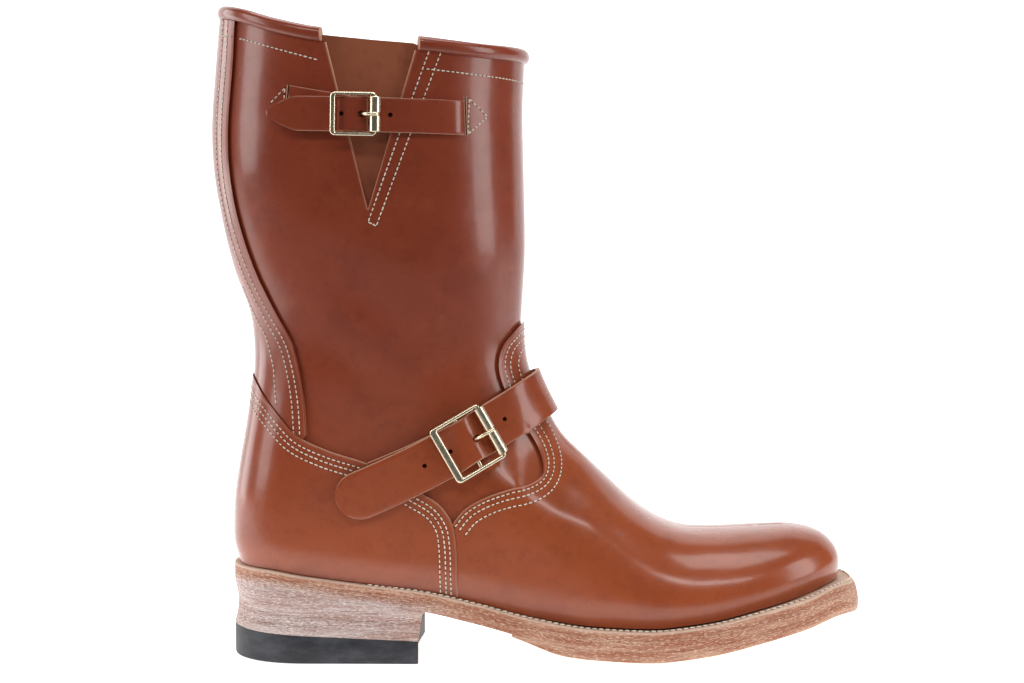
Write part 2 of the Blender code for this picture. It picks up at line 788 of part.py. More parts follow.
def build_bead(material):
    """The rolled edge on the collar, open at the V."""
    fine = 96
    points = body_points(np.linspace(0.9, 1.0, 6), fine)
    rim = points[-1]
    outward = normals(points)[-1] * np.array([1.0, 1.0, 0.0])
    outward /= np.linalg.norm(outward, axis=1, keepdims=True)
    order = np.arange(2 * fine)
    x = rim[:, 0]
    slope = (NOTCH_APEX - NOTCH_REAR) / (COLLAR_BACK - NOTCH_APEX_HEIGHT)
    rear_x = NOTCH_APEX - slope * (rim[:, 2] - NOTCH_APEX_HEIGHT) - BEAD_CUT
    slope = (NOTCH_FRONT - NOTCH_APEX) / (COLLAR_BACK - NOTCH_APEX_HEIGHT)
    front_x = NOTCH_APEX + slope * (rim[:, 2] - NOTCH_APEX_HEIGHT)
    outer = order < fine
    start = order[outer & (x > front_x)][0]
    stop = order[outer & (x < rear_x)][-1]
    run = np.arange(start, stop + 2 * fine + 1) % (2 * fine)
    path = np.concatenate([rim[run], outward[run]], axis=1)
    path = even_steps(path, 44)
    turns = np.arange(7) * 2 * math.pi / 7
    middle_in = UPPER_WALL / 2
    rings = []
    for place in path:
        centre, out = place[:3], place[3:] / np.linalg.norm(place[3:])
        centre = centre - out * middle_in + np.array([0, 0, SEAT_GAP + BEAD_HEIGHT / 2])
        ring = [
            centre
            + out * math.cos(t) * BEAD_WIDTH / 2
            + np.array([0, 0, 1.0]) * max(-1.0, min(1.0, 1.25 * math.sin(t))) * BEAD_HEIGHT / 2
            for t in turns
        ]
        rings.append(np.array(ring))
    return ring_stack("collar_bead", rings, material)


# Soles and heel


def foot_outline(reach_out, count=OUTLINE_POINTS):
    """Plan outline of the feather line, moved out by a distance that may vary along it."""
    points = body_points(np.array([0.0, 0.01, 0.02]), 90)[0]
    closed = np.concatenate([points, points[:1]])[:, :2]
    line = even_steps(closed, 4 * count + 1)[:-1]
    ahead = np.roll(line, -2, axis=0) - np.roll(line, 2, axis=0)
    out = np.stack([ahead[:, 1], -ahead[:, 0]], axis=1)
    out /= np.linalg.norm(out, axis=1, keepdims=True)
    moved = line + out * reach_out(line[:, 0])[:, None]
    closed = np.concatenate([moved, moved[:1]])
    return even_steps(closed, count + 1)[:-1]


def sole_reach(share):
    return lambda x: plan("sole", x) * SOLE_REACH * share


def tread_crown(x, y):
    """How far the sole's layers bulge down inside the feather line."""
    x, y = np.asarray(x, float), np.asarray(y, float)
    share = x / LAST_LENGTH
    strength = smooth_step(share, 0.44, 0.62) * (1.0 - smooth_step(share, 0.74, 0.96))
    side = np.where(y > middle(x), plan("inner", x), plan("outer", x)) * BALL_HALF_WIDTH
    out = np.clip(np.abs(y - middle(x)) / side, 0.0, 1.0)
    return TREAD_CROWN * strength * (1.0 - out * out)


def layer_height(x, y, down):
    """Height of a surface that lies a distance under the feather line."""
    return feather_height(x) - down - tread_crown(x, y)


def rings_inwards(outline, shares):
    """Smaller copies of an outline, shrunk towards the foot's middle line."""
    rings = []
    centre_x = 0.5 * LAST_LENGTH
    for share in shares:
        x = outline[:, 0]
        inner_x = centre_x + (x - centre_x) * (0.5 + 0.5 * share)
        inner_y = middle(inner_x) + (outline[:, 1] - middle(x)) * share
        rings.append(np.stack([inner_x, inner_y], axis=1))
    return rings


def raise_ring(ring, height):
    return np.concatenate([ring, height(ring[:, 0], ring[:, 1])[:, None]], axis=1)


def plate(name, outline_top, outline_low, inner, top, low, material):
    """A sole layer: outlines of its top and bottom, its inner rings, and both heights."""
    rings = [raise_ring(r, top) for r in inner[::-1]]
    rings.append(raise_ring(outline_top, top))
    rings.append(raise_ring(outline_low, low))
    rings += [raise_ring(r, low) for r in inner]
    around = len(outline_top)
    vertices = np.concatenate(rings)
    faces = []
    for i in range(len(rings) - 1):
        a, b = i * around, (i + 1) * around
        for j in range(around):
            k = (j + 1) % around
            if i <= len(inner):
                faces += [(a + j, a + k, b + k), (a + j, b + k, b + j)]
            else:
                faces += [(a + j, a + k, b + j), (a + k, b + k, b + j)]
    half = around // 2
    last = (len(rings) - 1) * around
    for start in (0, last):
        for j in range(half - 1):
            a, b = start + j + 1, start + (around - 1 - j)
            quad = [start + j if j else start, a, b, start + (around - j) % around]
            quad = list(dict.fromkeys(quad))
            faces.append(tuple(quad))
        faces.append((start + half - 1, start + half, start + half + 1))
    return new_object(name, vertices, faces, material)


def strip_along(name, ring_out_top, ring_out_low, ring_in, down_top, down_low, keep, material):
    """Part of a flat ring round the foot, such as the welt, between two stations."""
    order = np.nonzero(keep)[0]
    jump = np.nonzero(np.diff(order) > 1)[0]
    if len(jump):
        order = np.concatenate([order[jump[0] + 1 :], order[: jump[0] + 1]])
    sections = []
    for j in order:
        corners = [(ring_out_top[j], down_top), (ring_out_low[j], down_low),
                   (ring_in[j], down_low), (ring_in[j], down_top)]
        sections.append([(p[0], p[1], float(layer_height(p[0], p[1], d))) for p, d in corners])
    return ring_stack(name, [np.array(s) for s in sections], material)


WELT_TOP = WELT_GAP
WELT_LOW = WELT_TOP + WELT_THICKNESS
MIDSOLE_TOP = WELT_LOW + SEAT_GAP
MIDSOLE_LOW = MIDSOLE_TOP + MIDSOLE_THICKNESS
HALF_SOLE_TOP = MIDSOLE_LOW + SEAT_GAP
HALF_SOLE_LOW = HALF_SOLE_TOP + HALF_SOLE_THICKNESS


def build_sole(parts):
    out, edge = foot_outline(sole_reach(0.92)), foot_outline(sole_reach(1.0))
    inside = foot_outline(lambda x: -WELT_INSET + 0 * x)
    front = out[:, 0] > WELT_START
    strip_along("welt", out, edge, inside, WELT_TOP, WELT_LOW, front, parts["sole"])
    rear = ~front
    build_heel_rand(out, edge, inside, rear | np.roll(rear, 1) | np.roll(rear, -1), parts["sole"])

    inner = [inside] + rings_inwards(inside, (0.52,))
    plate("midsole", edge, edge, inner, lambda x, y: layer_height(x, y, MIDSOLE_TOP),
          lambda x, y: layer_height(x, y, MIDSOLE_LOW), parts["sole"])
    inset = foot_outline(lambda x: -UPPER_WALL - INSOLE_MARGIN + 0 * x)
    plate("insole", inset, inset, rings_inwards(inset, (0.52,)),
          lambda x, y: layer_height(x, y, -INSOLE_PROUD),
          lambda x, y: layer_height(x, y, INSOLE_THICKNESS - INSOLE_PROUD), parts["lining"])
    build_half_sole(edge, inner, parts["sole"])


def build_heel_rand(out, out_low, inside, keep, material):
    """The strip that carries the welt's line round the heel seat."""
    order = np.nonzero(keep)[0]
    jump = np.nonzero(np.diff(order) > 1)[0]
    order = np.concatenate([order[jump[0] + 1 :], order[: jump[0] + 1]])
    sections = []
    for place, j in enumerate(order):
        pieces = [out[j], out_low[j], inside[j], inside[j]]
        if place in (0, len(order) - 1):
            mate = order[1] if place == 0 else order[-2]
            full = abs(out[j][0] - out[mate][0])
            stop = front_stop(out) - SEAT_GAP
            step = (out[j][0] - stop) / full
            mates = [out[mate], out_low[mate], inside[mate], inside[mate]]
            pieces = [p + (m - p) * step for p, m in zip(pieces, mates)]
        downs = [WELT_TOP, WELT_LOW, WELT_LOW, WELT_TOP]
        sections.append([(p[0], p[1], float(layer_height(p[0], p[1], d))) for p, d in zip(pieces, downs)])
    return ring_stack("heel_rand", [np.array(s) for s in sections], material)


def front_stop(out):
    """Where the welt's two ends stand."""
    return float(out[out[:, 0] > WELT_START][:, 0].min())


def build_half_sole(edge, inner, material):
    """The forefoot's tread, with a thinned rear edge and a flat spot on the floor."""
    low = foot_outline(sole_reach(0.92))

    def thickness(x):
        share = smooth_step(x, HALF_SOLE_START - 0.004, HALF_SOLE_START + HALF_SOLE_FEATHER)
        return HALF_SOLE_FEATHER_EDGE + (HALF_SOLE_THICKNESS - HALF_SOLE_FEATHER_EDGE) * share

    def low_height(x, y):
        return np.maximum(layer_height(x, y, HALF_SOLE_TOP) - thickness(x), 0.0)

    sole = plate("half_sole", edge, low, inner, lambda x, y: layer_height(x, y, HALF_SOLE_TOP),
                 low_height, material)
    behind = [(-CLEAR, -CLEAR), (HALF_SOLE_START, -CLEAR), (HALF_SOLE_START, CLEAR), (-CLEAR, CLEAR)]
    return boolean(sole, prism("cut_rear", behind, -CLEAR, CLEAR), "DIFFERENCE")


def heel_outline(reach_in, breast):
    """Plan outline of the heel: the sole's edge behind the breast, which is hollowed."""
    edge = foot_outline(lambda x: plan("sole", x) * SOLE_REACH - reach_in, 160)
    rear = edge[edge[:, 0] < breast]
    jump = np.nonzero(np.linalg.norm(np.diff(rear, axis=0), axis=1) > 0.02)[0]
    if len(jump):
        rear = np.concatenate([rear[jump[0] + 1 :], rear[: jump[0] + 1]])
    rear = rear[np.argsort(np.arctan2(rear[:, 1], 0.6 * breast - rear[:, 0]))]
    rear = even_steps(rear, 25)
    rear[0, 0] = rear[-1, 0] = breast
    front = []
    for share in (0.25, 0.5, 0.75):
        y = rear[-1, 1] + (rear[0, 1] - rear[-1, 1]) * share
        front.append((breast - 0.0022 * math.sin(math.pi * share), y))
    return np.concatenate([rear, np.array(front)])


def build_heel(parts):
    """Stacked leather lifts under the midsole, and the rubber top lift on the floor."""

    def stack_top(x):
        return feather_height(x) - MIDSOLE_LOW - 2 * SEAT_GAP

    def lift_top(x):
        return TOP_LIFT_BACK + (TOP_LIFT_FRONT - TOP_LIFT_BACK) * x / HEEL_LENGTH

    def stack_height(x, share):
        if share == 0.0:
            return stack_top(x)
        ends = stack_top(np.array([0.0, HEEL_LENGTH]))
        flat = ends[0] + (ends[1] - ends[0]) * x / HEEL_LENGTH
        low = TOP_LIFT_BACK + (TOP_LIFT_FRONT - TOP_LIFT_BACK) * x / HEEL_LENGTH
        return flat + (low + SEAT_GAP - flat) * share

    def ring(share, height):
        waist = STACK_WAIST * math.sin(math.pi * min(1.0, share))
        breast = HEEL_LENGTH + BREAST_RAKE * (1.0 - share)
        outline = heel_outline(waist, breast)
        return np.concatenate([outline, height(outline[:, 0])[:, None]], axis=1)

    for k in range(LIFT_COUNT):
        high, low = k / LIFT_COUNT, (k + 1) / LIFT_COUNT
        rings = [ring(high, lambda x: stack_height(x, high)),
                 ring(low, lambda x: stack_height(x, low) + (SEAT_GAP if low < 1.0 else 0.0))]
        ring_stack(f"heel_lift_{k + 1}", rings, parts["sole"])
    rings = [ring(1.0, lift_top), ring(1.0, lambda x: 0.0 * x)]
    ring_stack("top_lift", rings, parts["rubber"])


# Straps and buckles


def front_crossing(height, slope, shift):
    """Where a sloping line across the boot's side meets the front line."""
    onward = FRONT[-1] + (FRONT[-1] - FRONT[-2]) / np.linalg.norm(FRONT[-1] - FRONT[-2]) * CLEAR
    shin = np.concatenate([FRONT[120:], onward[None]])
    anchor = np.array([np.interp(height, shin[30:, 1], shin[30:, 0]), height])
    along = np.array([math.cos(slope), math.sin(slope)])
    across = np.array([-along[1], along[0]])
    side = (shin - anchor) @ across - shift
    k = int(np.nonzero(np.diff(np.sign(side)))[0][0])
    share = side[k] / (side[k] - side[k + 1])
    return shin[k] + (shin[k + 1] - shin[k]) * share


def strap_grid(height, slope, distances, inner, half_widths, lines, rise=0.0):
    """Points and normals of the upper under a strap: [station, place across, xyz]."""
    along = np.array([math.cos(slope), math.sin(slope)])
    across = np.array([-along[1], along[0]])
    places, outs = [], []
    for share in np.linspace(-1.0, 1.0, lines):
        line_places, line_outs = [], []
        for distance, half in zip(distances, half_widths):
            shift = share * half + rise * (distance - distances[0]) / (distances[-1] - distances[0])
            if slope == ANKLE_STRAP_SLOPE:
                shift -= ANKLE_STRAP_BOW * math.sin(math.pi * distance / ANKLE_STRAP_BOW_RUN)
            start = front_crossing(height, slope, shift)
            x, z = start - along * max(distance, 1e-5)
            point, out = surface_frame(x, z, inner)
            line_places.append(point)
            line_outs.append(out)
        places.append(line_places)
        outs.append(line_outs)
    places = np.transpose(np.array(places), (1, 0, 2))
    outs = np.transpose(np.array(outs), (1, 0, 2))
    return places, outs


def lift_at(table, length, distances):
    rows = column(table, "along") * length
    return interpolate(distances, rows, column(table, "lift")) * BUCKLE_LIFT


def round_end(distances, end, half, radius, power=2.0):
    """Half widths that close in a rounded or pointed tip at the far end."""
    share = np.clip((end - np.asarray(distances)) / radius, 0.0, 1.0)
    return half * np.maximum((1.0 - (1.0 - share) ** power) ** (1.0 / power), 0.05)


def punch(strap, name, point, out, along, radius, length=0.0):
    """A round or long hole through a strap."""
    cutter = capsule_prism(name, point, out, along, radius, length)
    return boolean(strap, hide_cutter(cutter), "DIFFERENCE")


def punch_row(strap, name, height, slope, distance, half):
    """A round hole on the middle line of a strap, at a distance from the front line."""
    ahead = distance + 2 * HOLE_RADIUS
    where, out = strap_grid(height, slope, [distance, ahead], False, [half, half], 3)
    punch(strap, name, where[0, 1], out[0, 1], where[1, 1] - where[0, 1], HOLE_RADIUS)


def capsule_prism(name, point, out, along, radius, length):
    along = along - out * float(along @ out)
    along /= np.linalg.norm(along)
    across = np.cross(out, along)
    ring = []
    for k in range(8):
        turn = (k + 0.5) * math.pi / 4
        shift = length / 2 if math.cos(turn) > 0 else -length / 2
        ring.append(along * (radius * math.cos(turn) + shift) + across * radius * math.sin(turn))
    low = [point + p - out * 0.006 for p in ring]
    high = [point + p + out * 0.012 for p in ring]
    return ring_stack(name, [np.array(low), np.array(high)], bpy.data.materials["glazed_leather"])


def stations(spans):
    """Distances along a strap: (start, stop, steps) spans joined end to end."""
    values = [np.linspace(a, b, n, endpoint=False) for a, b, n in spans]
    return np.concatenate(values + [[spans[-1][1]]])


def build_ankle_strap(parts):
    """The long strap: from its tail on the outer side, over the instep, to the inner side."""
    half = ANKLE_STRAP_WIDTH / 2
    height, slope = ANKLE_STRAP_FRONT_HEIGHT, ANKLE_STRAP_SLOPE
    bars = ANKLE_FRAME_LENGTH / 2
    near, far = ANKLE_BUCKLE_AT - bars, ANKLE_BUCKLE_AT + bars
    tip = ANKLE_STRAP_TAIL
    fold = [ANKLE_STRAP_WIDTH * share for share in (0.034, 0.17, 0.51, 1.45)]
    outer = stations([(fold[0], fold[1], 2), (fold[1], fold[2], 3), (fold[2], near, 4), (near, far, 10),
                      (far, tip - half, 5), (tip - half, tip - fold[1], 4), (tip - fold[1], tip, 3)])
    widths = round_end(outer, tip, half, half, 2.0)
    places, outs = strap_grid(height, slope, outer, False, widths, 3)
    lift = lift_at(ANKLE_STRAP_LIFT, ANKLE_BUCKLE_AT, outer)[:, None, None]
    inner = stations([(fold[0], fold[1], 2), (fold[1], fold[2], 3), (fold[2], fold[3], 4),
                      (fold[3], ANKLE_STRAP_INNER, 5)])
    half_row = np.full(len(inner), half)
    places_in, outs_in = strap_grid(height, slope, inner, True, half_row, 3)
    lift_in = lift_at(INNER_STRAP_LIFT, ANKLE_STRAP_INNER, inner)[:, None, None]
    all_places = np.concatenate([places[::-1], places_in])
    all_outs = np.concatenate([outs[::-1], outs_in])
    lifts = np.concatenate([lift[::-1], lift_in])
    low = all_places + all_outs * lifts
    high = low + all_outs * ANKLE_STRAP_LEATHER
    strap = sheet_solid("ankle_strap", low, high, parts["leather"])
    for number, share in enumerate(ANKLE_HOLES):
        punch_row(strap, f"ankle_hole_{number}", height, slope, share * ANKLE_BUCKLE_AT, half)

    chape = stations([(ANKLE_BUCKLE_AT - fold[1], ANKLE_BUCKLE_AT + fold[1], 2),
                      (ANKLE_BUCKLE_AT + fold[1], ANKLE_CHAPE_START, 5)])
    slim = np.full(len(chape), half - 0.0006)
    under, out = strap_grid(height, slope, chape, False, slim, 3, rise=ANKLE_CHAPE_RISE)
    under = under + out * CHAPE_LIFT
    chape_solid = sheet_solid("ankle_chape", under, under + out * CHAPE_LEATHER, parts["leather"])
    counter = seam(COUNTER_EDGE, 26)
    edge = [tuple(p) for p in side_shift(counter, -SEAT_GAP)]
    outline = edge + [(-CLEAR / 2, 2 * CLEAR), (2 * CLEAR, 2 * CLEAR), (2 * CLEAR, -CLEAR / 4)]
    behind = edge + [(-CLEAR / 2, edge[-1][1]), (-CLEAR / 2, -CLEAR / 4)]
    boolean(chape_solid, prism("keep_chape", outline, -CLEAR, 0.0), "INTERSECT")
    boolean(strap, prism("keep_inner_end", behind, SHAFT_HALF_WIDTH / 10, CLEAR), "DIFFERENCE")
    return strap


def build_top_strap(parts):
    """The short strap over the V near the collar, with a pointed tail."""
    half = TOP_STRAP_WIDTH / 2
    height, slope = TOP_STRAP_FRONT_HEIGHT, TOP_STRAP_SLOPE
    bars = TOP_FRAME_LENGTH / 2
    near, far = TOP_BUCKLE_AT - bars, TOP_BUCKLE_AT + bars
    tip = TOP_STRAP_TAIL
    run = stations([(TOP_STRAP_ROOT, near, 5), (near, far, 10), (far, tip - 0.014, 3),
                    (tip - 0.014, tip, 4)])
    widths = round_end(run, tip, half, 0.0145, 1.35)
    places, outs = strap_grid(height, slope, run, False, widths, 3)
    low = places + outs * lift_at(TOP_STRAP_LIFT, TOP_BUCKLE_AT, run)[:, None, None]
    strap = sheet_solid("top_strap", low, low + outs * TOP_STRAP_LEATHER, parts["leather"])
    for number, share in enumerate(TOP_HOLES):
        punch_row(strap, f"top_hole_{number}", height, slope, share * TOP_BUCKLE_AT, half)
    chape = stations([(TOP_BUCKLE_AT - 0.003, TOP_BUCKLE_AT + 0.003, 2), (TOP_BUCKLE_AT + 0.003, TOP_CHAPE_START, 5)])
    slim = np.full(len(chape), half - 0.0004)
    under, out = strap_grid(height, slope, chape, False, slim, 3, rise=TOP_CHAPE_RISE)
    under = under + out * CHAPE_LIFT
    sheet_solid("top_chape", under, under + out * CHAPE_LEATHER, parts["leather"])
    return strap


def buckle_frame(height, slope, distance):
    """Centre and axes of a buckle: towards the front, across, and outwards."""
    places, outs = strap_grid(height, slope, [distance - 0.012, distance, distance + 0.012], False,
                              [0.001, 0.001, 0.001], 3)
    out = outs[:, 1].mean(axis=0)
    out /= np.linalg.norm(out)
    along = places[0, 1] - places[2, 1]
    along -= out * float(along @ out)
    along /= np.linalg.norm(along)
    return places[1, 1], along, np.cross(out, along), out


def rod(name, start, stop, out, radius, material, sides=8):
    axis = stop - start
    axis = axis / np.linalg.norm(axis)
    side = np.cross(axis, out)
    rings = []
    for end in (start, stop):
        turns = [2 * math.pi * k / sides for k in range(sides)]
        rings.append(np.array([end + out * radius * math.sin(t) + side * radius * math.cos(t) for t in turns]))
    return ring_stack(name, rings, material)


def build_buckle(prefix, height, slope, distance, length, strap_width, side_wire, bar, clearance, sag, lift, parts):
    """A square frame with a middle bar under the strap, a roller and a prong."""
    base, along, across, out = buckle_frame(height, slope, distance)
    centre = base + out * lift - across * sag
    inner_half = strap_width / 2 + clearance
    outer_half = inner_half + side_wire
    half_length = length / 2
    roller_outer = BAR_RADIUS + SEAT_GAP + ROLLER_WALL
    bar_centre = half_length - roller_outer

    def corner_ring(half_x, half_y, low_x, cut, level):
        spots = [(half_x - cut, half_y), (half_x, half_y - cut), (half_x, -half_y + cut), (half_x - cut, -half_y),
                 (-low_x + cut, -half_y), (-low_x, -half_y + cut), (-low_x, half_y - cut), (-low_x + cut, half_y)]
        return np.array([centre + along * a + across * b + out * level for a, b in spots])

    outer = [corner_ring(bar_centre + BAR_RADIUS, outer_half, half_length, 0.0022, s * FRAME_HEIGHT / 2)
             for s in (-1, 1)]
    inner = [corner_ring(bar_centre - BAR_RADIUS, inner_half, half_length - bar, 0.0002, s * FRAME_HEIGHT / 2)
             for s in (1, -1)]
    frame = ring_stack(prefix + "_buckle", [outer[0], outer[1], inner[0], inner[1]], parts["metal"], False, False)
    trim_bar(frame, prefix, centre, along, across, out, bar_centre, inner_half, parts)

    low = centre - out * BAR_DROP
    post = rod(prefix + "_bar_form", low - across * (outer_half - 0.0006), low + across * (outer_half - 0.0006),
               out, BAR_RADIUS, parts["metal"])
    boolean(frame, hide_cutter(post), "UNION")
    for side in (-1, 1):
        foot = low + across * side * (inner_half + side_wire / 2)
        leg = block(f"{prefix}_leg_form_{side}", foot + out * BAR_DROP / 2, along, across, out,
                    (0.0024, side_wire - 0.0004, BAR_DROP + FRAME_HEIGHT / 2), parts["metal"])
        boolean(frame, hide_cutter(leg), "UNION")
    build_roller(prefix, centre, along, across, out, bar_centre, inner_half, parts)
    build_prong(prefix, centre, along, across, out, bar_centre, parts)
    return frame


def block(name, centre, along, across, out, sizes, material):
    a, b, c = (s / 2 for s in sizes)
    low = [centre + along * i * a + across * j * b - out * c for i, j in ((-1, -1), (1, -1), (1, 1), (-1, 1))]
    high = [centre + along * i * a + across * j * b + out * c for i, j in ((-1, -1), (1, -1), (1, 1), (-1, 1))]
    return ring_stack(name, [np.array(low), np.array(high)], material)


def trim_bar(frame, prefix, centre, along, across, out, bar_centre, inner_half, parts):
    """Thins the frame's front side to the round bar that carries the roller."""
    gap = BAR_RADIUS + SEAT_GAP + 0.0004
    for level in (-1, 1):
        where = centre + along * bar_centre + out * level * (BAR_RADIUS + 0.002)
        cut = block(f"{prefix}_thin_form_{level}", where, along, across, out,
                    (2 * gap + 0.002, 2 * inner_half + 0.0003, 0.004), parts["metal"])
        boolean(frame, hide_cutter(cut), "DIFFERENCE")


def build_roller(prefix, centre, along, across, out, bar_centre, inner_half, parts):
    """The tube that turns on the frame's front bar."""
    middle_point = centre + along * bar_centre
    half = inner_half - SEAT_GAP
    inside = (BAR_RADIUS * math.sqrt(2) + SEAT_GAP) / math.cos(math.pi / 12)
    outside = inside + ROLLER_WALL
    turns = [2 * math.pi * k / 12 for k in range(12)]
    rings = []
    for radius, end in ((outside, -half), (outside, half), (inside, half), (inside, -half)):
        rings.append(np.array([middle_point + across * end + out * radius * math.sin(t) + along * radius * math.cos(t)
                               for t in turns]))
    return ring_stack(prefix + "_roller", rings, parts["metal"], False, False)


def build_prong(prefix, centre, along, across, out, bar_centre, parts):
    """The prong: from beside the middle bar, up through the strap and onto the roller."""
    inside = (BAR_RADIUS * math.sqrt(2) + SEAT_GAP) / math.cos(math.pi / 12)
    rest = inside + ROLLER_WALL + SEAT_GAP + PRONG_RADIUS
    path = [
        (BAR_RADIUS + SEAT_GAP + PRONG_RADIUS, -BAR_DROP),
        (BAR_RADIUS + SEAT_GAP + PRONG_RADIUS + 0.0012, -BAR_DROP + 0.0016),
        (bar_centre * 0.50, rest - 0.0016),
        (bar_centre * 0.80, rest),
        (bar_centre + 0.0016, rest + 0.0001),
    ]
    rings = []
    sides = [2 * math.pi * k / 6 for k in range(6)]
    points = [np.array(p) for p in path]
    for k, place in enumerate(points):
        ahead = points[min(k + 1, len(points) - 1)] - points[max(k - 1, 0)]
        ahead /= np.linalg.norm(ahead)
        up = np.array([-ahead[1], ahead[0]])
        spot = centre + along * place[0] + out * place[1]
        lift = along * up[0] + out * up[1]
        rings.append(np.array([spot + lift * PRONG_RADIUS * math.sin(t) + across * PRONG_RADIUS * math.cos(t)
                               for t in sides]))
    prong = ring_stack(prefix + "_prong", rings, parts["metal"])
    strap = bpy.data.objects[prefix + "_strap"]
    pierce = centre + along * bar_centre * 0.38 + out * (-FRAME_HEIGHT)
    punch(strap, prefix + "_slot", pierce, out, along, PRONG_RADIUS + 0.0007, PRONG_SLOT)
    return prong


def stand_at_heel(pieces):
    """Moves the boot so that the origin is the middle of the heel's face on the floor."""
    shift = Matrix.Translation((-HEEL_LENGTH / 2, 0.0, 0.0))
    for piece in pieces:
        piece.data.transform(shift)


def main():
    for item in list(bpy.data.objects):
        bpy.data.objects.remove(item, do_unlink=True)
    parts = materials()
    build_upper(parts["leather"])
    build_panels(parts["leather"])
    build_gusset(parts["leather"])
    build_bead(parts["leather"])
    build_sole(parts)
    build_heel(parts)
    build_ankle_strap(parts)
    build_top_strap(parts)
    build_buckle("ankle", ANKLE_STRAP_FRONT_HEIGHT, ANKLE_STRAP_SLOPE, ANKLE_BUCKLE_AT,
                 ANKLE_FRAME_LENGTH, ANKLE_STRAP_WIDTH, ANKLE_FRAME_SIDE, ANKLE_FRAME_BAR,
                 ANKLE_FRAME_CLEARANCE, ANKLE_FRAME_SAG, ANKLE_FRAME_LIFT, parts)
    build_buckle("top", TOP_STRAP_FRONT_HEIGHT, TOP_STRAP_SLOPE, TOP_BUCKLE_AT,
                 TOP_FRAME_LENGTH, TOP_STRAP_WIDTH, TOP_FRAME_SIDE, TOP_FRAME_BAR,
                 TOP_FRAME_CLEARANCE, TOP_FRAME_SAG, TOP_FRAME_LIFT, parts)
    stand_at_heel([item for item in bpy.data.objects if item.type == "MESH"])


main()
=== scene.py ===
"""Engineer boot for the right foot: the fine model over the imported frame, and its studio.

Lengths are in metres, +Z up, toe towards +X, outer side towards -Y.  The shapes are worked
out from the heel's back edge and moved at the end, so that the origin is under the heel.
"""

import math

import bmesh
import bpy
import numpy as np
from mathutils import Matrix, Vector
from mathutils.bvhtree import BVHTree
from mathutils.interpolate import poly_3d_calc

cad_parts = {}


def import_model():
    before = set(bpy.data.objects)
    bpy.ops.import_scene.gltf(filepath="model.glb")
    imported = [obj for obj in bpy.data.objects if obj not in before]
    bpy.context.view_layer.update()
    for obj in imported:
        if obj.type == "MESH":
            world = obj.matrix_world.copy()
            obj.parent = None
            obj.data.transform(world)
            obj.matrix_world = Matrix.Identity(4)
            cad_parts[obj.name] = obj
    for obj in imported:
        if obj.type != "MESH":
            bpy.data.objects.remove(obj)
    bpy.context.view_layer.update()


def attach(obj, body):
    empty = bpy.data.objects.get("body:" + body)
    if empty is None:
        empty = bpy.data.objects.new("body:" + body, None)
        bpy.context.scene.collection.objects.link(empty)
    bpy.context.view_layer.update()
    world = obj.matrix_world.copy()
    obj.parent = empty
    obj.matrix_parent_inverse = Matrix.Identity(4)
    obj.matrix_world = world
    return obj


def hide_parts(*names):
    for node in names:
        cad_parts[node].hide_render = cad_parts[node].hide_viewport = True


# Sampling of the fine forms
SKIN_ROWS = 124
SKIN_COLUMNS = 92
SOLE_POINTS = 420
EDGE_STEP = 0.0011
STITCH = 0.0025
THREAD = 0.00066
SEAM_POINTS, FRONT_POINTS, BACK_POINTS = 90, 400, 300
# First points of the front line on the instep and on the leg
INSTEP_FROM, LEG_FROM = 120, 150
WELT_STITCH, WELT_THREAD = 0.0031, 0.0010
# A needle hole's dark mark of painted shade: its length, width and height, and its rise over the leather
HOLE_SHADE_SIZE = (0.00085, 0.00070, 0.00026, 0.00003)

# Camera and studio: the photograph is 1024 pixels wide, with 2 pixels to the millimetre
PHOTO_WIDTH = 1024.0
PHOTO_SCALE = 2000.0
CAMERA_DISTANCE = 0.90
CAMERA_HEIGHT = 0.210
CAMERA_AIM_HEIGHT = 0.155
CAMERA_ACROSS = 0.137
SWEEP_FRONT, SWEEP_BACK, SWEEP_BEND, SWEEP_TOP, SWEEP_WIDTH = 0.75, 1.1, 0.7, 2.6, 7.0
FLOOR_GAP = 0.0002
PAPER_GLOW = 0.80
# Painted shade on the floor paper in front: its glow there, and where it fades in along Y
PAPER_SHADE, PAPER_SHADE_START, PAPER_SHADE_END = 0.10, -0.26, -0.078
ROOM_LIGHT = 0.07
LIGHTS = [
    ("left_light", (-1.15, -0.35, 0.62), (0.05, 0.0, 0.16), (0.45, 1.1), 6.5, (1.0, 0.985, 0.975)),
    ("rim_light", (-1.25, 0.55, 0.45), (0.0, 0.0, 0.18), (0.55, 1.2), 6.0, (1.0, 0.985, 0.98)),
    ("right_light", (1.25, -0.45, 0.50), (0.10, 0.0, 0.12), (0.45, 1.0), 6.0, (1.0, 0.985, 0.98)),
    ("top_light", (0.15, 0.10, 1.35), (0.08, 0.0, 0.1), (1.3, 0.6), 8.5, (1.0, 1.0, 1.0)),
    ("front_light", (0.00, -1.30, 1.35), (0.10, 0.0, 0.10), (2.0, 0.25), 11.0, (1.0, 1.0, 1.0)),
]

# Driving sizes of the last and the shaft
LAST_LENGTH = 0.3005
BALL_HALF_WIDTH = 0.0465
HEEL_HALF_WIDTH = 0.0325
SHAFT_HALF_WIDTH = 0.0495
SHAFT_RISE = 0.2675
COLLAR_SLOPE = 0.0207
COLLAR_DIP = 0.0070
TOE_BOX_HEIGHT = 0.0229
TOE_SPRING = 0.0205
TOE_SWING = 0.0065
TOE_ROUND = 0.062
UNDERCUT = 0.0024
UNDERCUT_HEIGHT = 0.0075
SECTION_DEPTH = 0.076
RIDGE_FALL = 0.02
# Beside the front line a loop widens at least this much per length, over so many columns
RIDGE_SPREAD, RIDGE_COLUMNS = 0.30, 8

